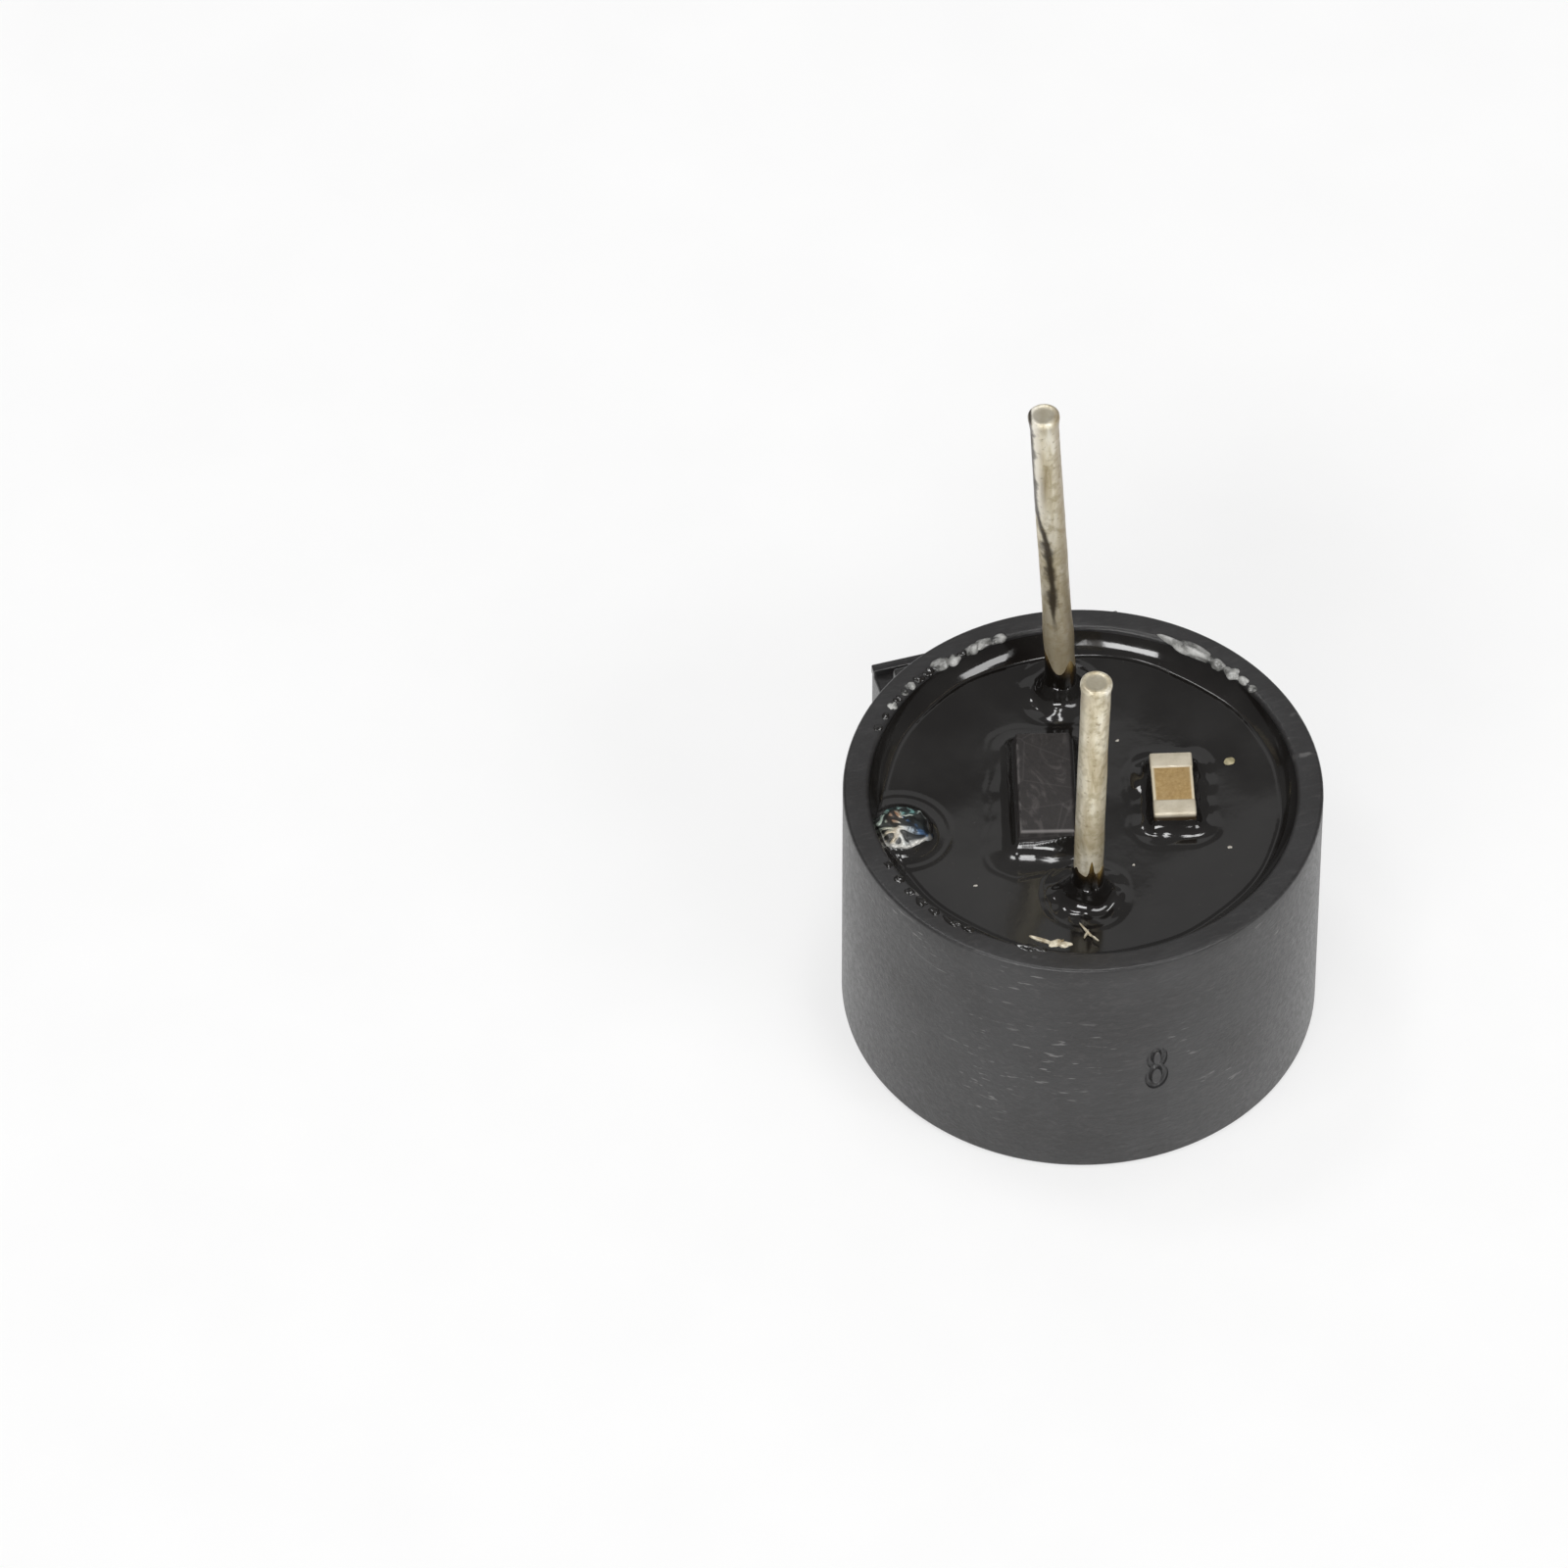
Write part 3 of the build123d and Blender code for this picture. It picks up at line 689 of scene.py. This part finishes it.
def prism(points, low, high):
    """Upright prism on a flat outline."""
    rings = [np.array([(x, y, level) for x, y in points]) for level in (low, high)]
    middle = np.mean(np.array(points), 0)
    return solid("prism", *loft(rings, (*middle, low), (*middle, high)))


def ring_tool(middle, inner, outer, low, high):
    """Flat ring about an upright axis."""
    corners = ((inner, low), (outer, low), (outer, high), (inner, high), (inner, low))
    return solid("ring", *loft([ring(radius, circle(96), level, middle) for radius, level in corners]))


def figure_tools():
    """Two loops, one above the other, that are cut into the side wall as a plain mould number."""
    facing = math.atan2(-AHEAD.y, -AHEAD.x) + math.radians(FIGURE_TURN)
    out = Vector((math.cos(facing), math.sin(facing), 0))
    side = Vector((-math.sin(facing), math.cos(facing), 0))
    turn = circle(48)
    meshes = []
    for middle, half_width, half_height in FIGURE_LOOPS:
        rings = []
        for b in circle(10):
            x = (half_width + STROKE_HALF * math.cos(b)) * np.cos(turn)
            level = middle + (half_height + STROKE_HALF * math.cos(b)) * np.sin(turn)
            depth = np.sqrt(HOUSING_R ** 2 - x ** 2) + STROKE_DEPTH * math.sin(b)
            rings.append(np.outer(x, side) + np.outer(depth, out) + np.outer(level, ABOVE))
        meshes.append(solid("loop", *loft(rings + [rings[0]])))
    return meshes


def make_housing(material):
    """The shell with its duct and marks cut out, and the lip at the nozzle's mouth."""
    corner = ((PLUS_HALF, PLUS_HALF), (PLUS_ARM, PLUS_HALF), (PLUS_ARM, -PLUS_HALF))
    plus = []
    for quarter in range(4):
        c, s = math.cos(-quarter * math.pi / 2), math.sin(-quarter * math.pi / 2)
        plus += [(x * c - y * s, PLUS_Y + x * s + y * c) for x, y in corner]
    low, high = (DUCT_HALF, DUCT_RUN, FACE_WALL), (DUCT_HALF, DUCT_RUN, DUCT_TOP)
    tools = [block(low, high, DUCT_EDGE, Matrix.Translation((0, DUCT_Y, 0)))]
    tools.append(prism(plus, -OVERRUN, MARK_DEPTH))
    tools.append(ring_tool((0, PLUS_Y), *PLUS_RING, -OVERRUN, MARK_DEPTH))
    mesh = housing_mesh()
    for tool in tools + figure_tools():
        mesh = cut(mesh, tool)
    dress("housing_shell", mesh, "housing_plastic", material, "housing")
    low, high = (NOZZLE_HALF, LIP_HALF, LIP_FOOT), (NOZZLE_HALF, LIP_HALF, LIP_TOP)
    lip = block(low, high, LIP_EDGE, Matrix.Translation((0, LIP_Y, 0)))
    dress("nozzle_lip", lip, "housing_plastic", material)


# Potting

def part_axes(x, y, part):
    """Places in the frame of a small part, which is given by its place and its turn in degrees."""
    turn = math.radians(part[2])
    dx, dy = x - part[0], y - part[1]
    return dx * math.cos(turn) + dy * math.sin(turn), dy * math.cos(turn) - dx * math.sin(turn)


def hump(distance, width):
    """A smooth swell of height 1."""
    return np.exp(-(distance / width) ** 2)


def rise(distance, width, height, foot=0.4, fold=0.008):
    """Resin that climbs what stands in it: a crease at its foot, which slopes gently, and a steep top."""
    share = np.clip(1 - distance / width, 0, 1)
    crease = fold * hump(distance - width, 0.045)
    return height * (foot * (share + share ** 2) / 2 + (1 - foot) * share ** 6) + crease


def bank(distance, width, height):
    """Resin that fills the corner at the wall in a slightly hollow slope."""
    share = np.clip(1 - distance / width, 0, 1)
    return height * (0.5 * share + 0.5 * share ** 2)


def resin_level(x, y):
    """Level of the resin's surface: gentle waves, and a climb at the wall and at all that stands in it."""
    angle, wall = np.arctan2(y, x), BORE_R - np.hypot(x, y)
    edge = waves(11, 8, 1.2, 3.5)(BORE_R * np.cos(angle), BORE_R * np.sin(angle))
    sway = waves(21, 6, 1.0, 3.0)(x, y)
    ripple = waves(23, 8, 0.45, 1.0)(x, y)
    width = 0.27 + 0.02 * edge
    groove = 0.012 * hump(wall - width - 0.03, 0.04)
    level = RESIN_LEVEL + 0.014 * waves(5, 6, 3.0, 6.5)(x, y) + 0.0015 * waves(6, 8, 0.8, 1.6)(x, y)
    level = level + 0.1 * (np.hypot(x, y) / BORE_R) ** 4 - groove
    climbs = [bank(wall, width, 0.31 + 0.015 * edge)]
    for pin in (LONG_PIN, SHORT_PIN):
        apart = np.hypot(x - pin.base[0], y - pin.base[1]) - PIN_R
        level = level + 0.03 * ripple * hump(apart - 0.3, 0.16)
        climbs.append(rise(apart, 0.55 + 0.03 * sway, 0.62, 0.14))
    across, along = part_axes(x, y, TRANSISTOR)
    narrow = 0.2 * np.clip(across / 0.58, -1, 1) * np.clip(-along - 0.6, 0, 1)
    higher = 0.2 * np.clip(across / 0.58 + 0.4, 0, 1) * np.clip(-along / 0.3 - 3.6, 0, 1)
    apart = box_distance(across, along, 0.58, 1.29, 0.08)
    climbs.append(rise(apart, 0.46 + 0.05 * sway + 0.025 * ripple - narrow, 0.26 + higher))
    apart = box_distance(*part_axes(x, y, CAPACITOR), 0.39, 0.76, 0.05)
    level = level + 0.02 * ripple * hump(apart - 0.2, 0.14)
    climbs.append(rise(apart, 0.42 + 0.04 * sway + 0.03 * ripple, 0.26))
    climbs.append(rise(np.hypot(x - BEAD[0], y - BEAD[1]) - 0.54, 0.38, 0.12, 0.4, 0.012))
    total = sum(np.maximum(c, 0) ** 2.5 for c in climbs) ** 0.4
    return np.minimum(level + total, HOUSING_H - 0.03)


def level_at(x, y):
    """Level of the resin's surface at one place."""
    return float(resin_level(np.array([x]), np.array([y]))[0])


def make_potting(material):
    """The resin, with closer rings near the wall."""
    radii = np.concatenate([np.linspace(0.02, 3.5, 116), np.linspace(3.515, 3.998, 30)])
    angles = circle(512)
    rings = []
    for radius in radii:
        x, y = radius * np.cos(angles), radius * np.sin(angles)
        rings.append(np.stack([x, y, resin_level(x, y)], 1))
    rings.append(ring(radii[-1], angles, BOARD_TOP))
    mesh = solid("potting_surface", *loft(rings, (0, 0, level_at(0.0, 0.0)), (0, 0, BOARD_TOP)))
    dress("potting_surface", mesh, "potting_resin", material, "potting", sharp=60)


# Pins

def pin_line(pin, top):
    """Points and directions along a pin's axis, with a soft bend where it leaves the resin."""
    lean, heading = math.radians(pin.lean), math.radians(pin.heading)
    away = Vector((math.cos(heading), math.sin(heading), 0))
    point, line = Vector((*pin.base, PIN_FOOT)), []
    while point.z < top:
        share = min(max((point.z - PIN_BEND + BEND_HALF) / (2 * BEND_HALF), 0.0), 1.0)
        along = (ABOVE * math.cos(lean * share) + away * math.sin(lean * share)).normalized()
        line.append((point.copy(), along))
        point = point + along * PIN_STEP
    return line


def ring_across(middle, along, turn, radius):
    """Points round an axis of any direction."""
    first = Vector((1, 0, 0))
    first = (first - along * first.dot(along)).normalized()
    second = along.cross(first)
    return np.array(middle) + np.outer(radius * np.cos(turn), first) + np.outer(radius * np.sin(turn), second)


def make_pin(name, node, pin, bulge, seed, material):
    """Dipped pin with an uneven coat, a bulge above the resin and a swollen, slightly dished tip."""
    turn = circle(56)
    skin = turn * PIN_R * 3
    coat, lumps = waves(seed, 6, 1.5, 5.0), waves(seed + 1, 8, 0.5, 1.2)
    line = pin_line(pin, pin.top - PIN_TIP_LENGTH)
    rings = []
    for point, along in line:
        radius = COAT_R + 0.004 * coat(skin, point.z) + 0.002 * lumps(skin, point.z)
        radius = radius + bulge * math.exp(-((point.z - BULGE_LEVEL) / BULGE_HALF) ** 2)
        rings.append(ring_across(point, along, turn, radius))
    last, along = line[-1]
    length = (pin.top - PIN_TIP_CLEAR - last.z) / along.z
    for back, radius in PIN_TIP:
        wide = radius * (1 + 0.014 * coat(skin, pin.top))
        rings.append(ring_across(last + along * (length - back), along, turn, wide))
    end = last + along * (length - PIN_TIP[-1][0])
    mesh = solid(name, *loft(rings, line[0][0], end))
    dress(name, mesh, "tinned_pin", material, node, sharp=50)


def make_film(name, pin, level, tongues, seed, material):
    """Thin sleeve of resin on a pin, with a ragged upper edge and tongues that climb higher.

    Each tongue has an angle from the camera's left, a rise, and a width as an angle.
    """
    turn = circle(144)
    ragged = waves(seed, 9, 0.16, 0.7)(turn * PIN_R, 0 * turn)
    line = pin_line(pin, FILM_LIMIT)
    levels = np.array([point.z for point, _ in line])
    spots = np.array([point for point, _ in line])
    left = math.atan2(-RIGHT.y, -RIGHT.x)
    foot = RESIN_LEVEL + 0.1
    top = level + 0.035 * ragged
    for angle, high, width in tongues:
        apart = (turn - left - angle + np.pi) % (2 * np.pi) - np.pi
        top = top + high * hump(apart, width)
    walls = []
    for share in np.linspace(0, 1, 15):
        thick = 0.004 + 0.045 * (1 - share) ** 1.5 + 0.006 * (1 + ragged) * (share < 1)
        walls.append((foot + (top - RESIN_LEVEL - 0.1) * share, PIN_R + thick))
    walls += [(top, FILM_BORE), (foot + 0 * turn, FILM_BORE)]
    rings = []
    for height, radius in walls:
        middle = np.stack([np.interp(height, levels, spots[:, k]) for k in range(3)], 1)
        rings.append(middle + ring(radius, turn, 0.0))
    mesh = solid(name, *loft(rings + [rings[0]]))
    dress(name, mesh, "potting_resin", material, sharp=60)


# Small parts on the board

def turned_place(part):
    """Where a small part stands, at level 0."""
    return Matrix.Translation((part[0], part[1], 0)) @ Matrix.Rotation(math.radians(part[2]), 4, "Z")


def make_transistor(material):
    """Moulded case, drafted both ways from the plane of its leads."""
    half_x, half_y = TRANSISTOR_HALF
    draft = math.tan(math.radians(TRANSISTOR_DRAFT))
    middle, low, top = BOARD_TOP + CASE_BELOW, CASE_BELOW * draft, CASE_ABOVE * draft
    foot, brow = (half_x - low, half_y - low, BOARD_TOP), (half_x - top, half_y - top, BOARD_TOP + CASE_H)
    lower = block(foot, (half_x, half_y, middle + 0.01), 0.015, turned_place(TRANSISTOR))
    upper = block((half_x, half_y, middle - 0.01), brow, 0.035, turned_place(TRANSISTOR))
    mesh = joined("transistor_case", [lower, upper])
    dress("transistor_case", mesh, "mould_compound", material, "transistor_body")


def make_capacitor(ceramic, plating):
    """Ceramic block between two end caps."""
    place = turned_place(CAPACITOR)
    low, high = (level + BOARD_TOP for level in CERAMIC_LEVELS)
    body = block((*CERAMIC_HALF, low), (*CERAMIC_HALF, high), 0.03, place)
    dress("capacitor_block", body, "capacitor_ceramic", ceramic, "capacitor_body")
    caps = []
    for side in (1, -1):
        end = place @ Matrix.Translation((0, side * (CAPACITOR_REACH - CAP_HALF[1]), 0))
        caps.append(block((*CAP_HALF, BOARD_TOP), (*CAP_HALF, BOARD_TOP + CAP_H), 0.045, end))
    mesh = joined("capacitor_end_caps", caps)
    dress("capacitor_end_caps", mesh, "terminal_plating", plating, "capacitor_terminals")


def bead_mesh():
    """Crinkled bead with folds on its right, a collar in front and its left side held inside the bore."""
    crinkle, folds = waves(17, 9, 0.35, 0.9), waves(18, 9, 0.5, 1.1)
    wide, deep, high = BEAD_HALF
    form = bmesh.new()
    bmesh.ops.create_icosphere(form, subdivisions=5, radius=1.0)
    for vert in form.verts:
        x, y, z = vert.co
        u, v = vert.co.dot(RIGHT), vert.co.dot(AHEAD)
        swell = 1 + 0.05 * float(crinkle(x, z)) + 0.05 * float(folds(y, x + z))
        swell += 0.06 * (1 - abs(z)) * abs(math.sin(5 * math.atan2(v, u))) * (u - v > 0)
        swell += 0.1 * math.exp(-((z - 0.38) / 0.12) ** 2) * max(-v, 0.0)
        place = Vector((*BEAD, 0)) + (RIGHT * u * wide + AHEAD * v * deep) * swell
        place *= min(1.0, (BORE_R - 0.015) / place.length)
        vert.co = Vector((place.x, place.y, max(z * high * swell + BEAD_LEVEL, BOARD_TOP))) * MM
    mesh = bpy.data.meshes.new("coil_joint_bead")
    form.to_mesh(mesh)
    form.free()
    return mesh


def make_joints(bead_look, tip_look):
    """The crinkled bead on the left, and the low cone on the right whose tip shows in the resin."""
    dress("coil_joint_bead", bead_mesh(), "solder", bead_look, "coil_lead_joints", sharp=50)
    turn = circle(40)
    uneven = waves(9, 6, 0.3, 0.9)(0.3 * np.cos(turn), 0.3 * np.sin(turn))
    rings = []
    for radius, level in ((0.4, BOARD_TOP), (0.24, 4.97), (0.14, 5.18), (0.115, 5.225), (0.07, 5.24)):
        wide = radius * (1 + 0.12 * uneven)
        x, y = CONE[0] + wide * np.cos(turn), CONE[1] + 0.75 * wide * np.sin(turn)
        rings.append(np.stack([x, y, 0 * turn + level], 1))
    mesh = solid("coil_joint_tip", *loft(rings, (*CONE, BOARD_TOP), (*CONE, 5.243)))
    dress("coil_joint_tip", mesh, "solder", tip_look)


# Residue

def headings(degrees):
    """The direction at an angle and the one square to it on the left."""
    a = math.radians(degrees)
    return Vector((math.cos(a), math.sin(a), 0)), Vector((-math.sin(a), math.cos(a), 0))


def make_residue(resin, crumbs, amber, dust):
    """Resin left on the rim, amber flakes and pale strands at the front, and specks of dust on the surface.
    The pale crumbs and flakes are partly painted highlight, the strands wholly.
    """
    lumps = []
    for k, (angle, radius, *sizes) in enumerate(PALE_LUMPS + DARK_LUMPS):
        out, side = headings(angle)
        sizes = [growth * size for growth, size in zip(LUMP_GROWTH, sizes)]
        lumps.append(blob(out * radius + ABOVE * (HOUSING_H - 0.02), sizes, (side, out, ABOVE), 40 + k, 0.26))
    pale, dark = lumps[:len(PALE_LUMPS)], lumps[len(PALE_LUMPS):]
    # The pale crumbs' light tones are partly painted highlight.
    dress("rim_crumbs", joined("rim_crumbs", pale), "potting_resin", crumbs, sharp=60)
    dress("rim_residue", joined("rim_residue", dark), "potting_resin", resin, sharp=60)
    flakes = []
    # Amber flakes partly, and the thin strands wholly, are painted highlight.
    for k, (x, y, level, heading, length, width) in enumerate(FLAKES):
        flakes.append(blob((x, y, level), (length, width, 0.03), (*headings(heading), ABOVE), 80 + k, 0.35))
    dress("rim_flake", joined("rim_flake", flakes), "potting_resin", amber, sharp=60)
    specks = []
    for k, (x, y, size) in enumerate(SPECKS):
        sizes = (size, size * 0.7, 0.015)
        specks.append(blob((x, y, level_at(x, y)), sizes, ((1, 0, 0), (0, 1, 0), ABOVE), 90 + k, 0.3))
    dress("dust_specks", joined("dust_specks", specks), "potting_resin", dust, sharp=60)


# Stage, in metres

def softbox(name, turn, height, distance, width, length, radiance):
    """Area light aimed at the part, by its angle to the right of the camera's heading and its elevation."""
    data = bpy.data.lights.new(name, "AREA")
    data.shape, data.size, data.size_y = "RECTANGLE", width, length
    data.energy = radiance * math.pi * width * length
    turn, height = math.radians(turn), math.radians(height)
    away = (AHEAD * math.cos(turn) + RIGHT * math.sin(turn)) * math.cos(height) + ABOVE * math.sin(height)
    lamp = shown(name, data)
    lamp.location = away * distance
    lamp.rotation_euler = away.to_track_quat("Z", "Y").to_euler()
    lamp.visible_camera = False


def make_lights():
    """Four small lights above, two large ones in front and a faint one behind."""
    for k, (turn, height) in enumerate(((-125.0, 68.0), (-50.0, 68.0), (130.0, 82.0), (40.0, 82.0))):
        softbox(f"top_{k}", turn, height, 0.36, 0.065, 0.065, 10.0)
    softbox("key", 131.0, 34.0, 0.5, 0.26, 0.14, 7.0)
    softbox("front", -162.0, 29.0, 0.6, 0.42, 0.13, 12.0)
    softbox("back", 0.0, 36.0, 0.5, 0.4, 0.24, 0.35)


def make_world():
    """Dim even light, a little brighter overhead."""
    world = bpy.data.worlds.new("studio")
    bpy.context.scene.world = world
    world.use_nodes = True
    nodes, links = world.node_tree.nodes, world.node_tree.links
    split = nodes.new("ShaderNodeSeparateXYZ")
    links.new(nodes.new("ShaderNodeTexCoord").outputs["Generated"], split.inputs[0])
    ramp = nodes.new("ShaderNodeValToRGB")
    parts = ramp.color_ramp.elements
    parts.new(0.55)
    for part, (place, tone) in zip(parts, ((0.0, 0.17), (0.55, 0.2), (1.0, 0.3))):
        part.position, part.color = place, (tone, tone, tone * 1.01, 1.0)
    links.new(split.outputs[2], ramp.inputs[0])
    links.new(ramp.outputs[0], nodes["Background"].inputs["Color"])
    nodes["Background"].inputs["Strength"].default_value = 1.0


def make_floor():
    """Plain pale floor, lifted towards white for the camera and reflections; it keeps the part's shadow."""
    look = Look("floor_paper", Roughness=0.9, Specular_IOR_Level=0.1)
    grain = look.noise(0.3, 3.0)
    look.set(Base_Color=look.ramp(grain, (0.3, (0.86, 0.86, 0.855)), (0.7, (0.9, 0.9, 0.895))))
    path = look.nodes.new("ShaderNodeLightPath")
    seen = look.maths("MAXIMUM", path.outputs["Is Camera Ray"], path.outputs["Is Glossy Ray"])
    seen = look.maths("MAXIMUM", seen, path.outputs["Is Transmission Ray"])
    white = look.nodes.new("ShaderNodeEmission")
    white.inputs["Color"].default_value = (1, 1, 1, 1)
    white.inputs["Strength"].default_value = 1.0
    blend = look.nodes.new("ShaderNodeMixShader")
    look.links.new(look.times(seen, 0.62), blend.inputs[0])
    look.links.new(look.shader.outputs[0], blend.inputs[1])
    look.links.new(white.outputs[0], blend.inputs[2])
    look.links.new(blend.outputs[0], look.nodes["Material Output"].inputs["Surface"])
    mesh = bpy.data.meshes.new("floor")
    half, level = 3.0, -0.00002
    corners = [(x * half, y * half, level) for x, y in ((-1, -1), (1, -1), (1, 1), (-1, 1))]
    mesh.from_pydata(corners, [], [(0, 1, 2, 3)])
    mesh.materials.append(look.material)
    floor = shown("floor", mesh)


def make_camera():
    """The photograph's camera."""
    data = bpy.data.cameras.new("camera")
    data.lens, data.sensor_width, data.clip_start = LENS, 36.0, 0.01
    forward = AHEAD * math.cos(ELEVATION) - ABOVE * math.sin(ELEVATION)
    up = AHEAD * math.sin(ELEVATION) + ABOVE * math.cos(ELEVATION)
    camera = shown("camera", data)
    place = ABOVE * HOUSING_H + RIGHT * SIDEWAYS + up * UPWARDS - forward * DISTANCE
    facing = Matrix((RIGHT, up, -forward)).transposed().to_4x4()
    camera.matrix_world = Matrix.Translation(place * MM) @ facing
    bpy.context.scene.camera = camera


def carry_over():
    """Materials of the solids that are shown as they are."""
    steel = metal("spring_steel", (0.4, 0.39, 0.37), (0.62, 0.61, 0.58), 0.32, (0.2, 3.0, 1.0))
    iron = metal("soft_iron", (0.33, 0.33, 0.33), (0.55, 0.55, 0.54), 0.38)
    brass = metal("brass_ring", (0.5, 0.36, 0.13), (0.8, 0.63, 0.3), 0.28, (0.4, 0.4, 3.0))
    lead = metal("tinned_lead", (0.5, 0.49, 0.46), (0.74, 0.73, 0.69), 0.34)
    copper, joint = winding(), solder()
    looks = {
        "diaphragm": steel, "support_ring": brass,
        "armature_disc": iron, "yoke_plate": iron, "pole_core": iron,
        "ring_magnet": dull("ferrite", (0.03, 0.03, 0.032), (0.07, 0.07, 0.073), 0.55, 6.0),
        "coil": copper, "coil_leads": copper,
        "circuit_board": dull("board_laminate", (0.16, 0.14, 0.05), (0.28, 0.25, 0.1), 0.5, 3.0),
        "pin_solder_joints": joint, "component_solder": joint, "transistor_leads": lead,
    }
    for node, material in looks.items():
        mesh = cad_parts[node].data
        for k in range(len(mesh.materials)):
            mesh.materials[k] = material
        if not mesh.materials:
            mesh.materials.append(material)


make_camera()
resin = potting_resin()
make_housing(moulded_black())
make_potting(resin)
long_look = tinned_pin("tinned_pin_long", LONG_PIN, (7.0, 10.2), 0.75, 0.94)
short_look = tinned_pin("tinned_pin_short", SHORT_PIN, (6.0, 7.2), 0.25, 0.2)
make_pin("pin_long", "pin_positive", LONG_PIN, 0.022, 61, long_look)
make_pin("pin_short", "pin_negative", SHORT_PIN, 0.0, 67, short_look)
long_tongues = ((0.1, 0.62, 0.75), (2.3, 0.35, 0.4), (3.3, 0.2, 0.3), (4.8, 0.35, 0.9))
short_tongues = ((1.75, 0.42, 0.17), (0.6, 0.12, 0.2), (2.7, 0.14, 0.25), (4.5, 0.15, 0.6))
long_film = resin_film("film_long", LONG_PIN.base, 6.0, 6.8)
short_film = resin_film("film_short", SHORT_PIN.base, 5.85, 6.6)
make_film("resin_film_long", LONG_PIN, 6.0, long_tongues, 71, long_film)
make_film("resin_film_short", SHORT_PIN, 6.02, short_tongues, 73, short_film)
make_transistor(mould_compound())
make_capacitor(capacitor_ceramic(), terminal_plating())
make_joints(solder_bead(), dull("joint_tip", (0.14, 0.12, 0.06), (0.42, 0.37, 0.22), 0.35, 9.0))
# Pale tones partly painted highlight; on the thin strands it is painted highlight only.
amber = dull("amber_flake_and_painted_glint", (0.2, 0.14, 0.06), (0.82, 0.77, 0.62), 0.2, 6.0)
dust = dull("dust", (0.25, 0.23, 0.2), (0.5, 0.47, 0.42), 0.6, 20.0)
make_residue(resin, crumbs_with_painted_glints(), amber, dust)
carry_over()
make_world()
make_floor()
make_lights()
bpy.context.scene.view_settings.view_transform = "Standard"
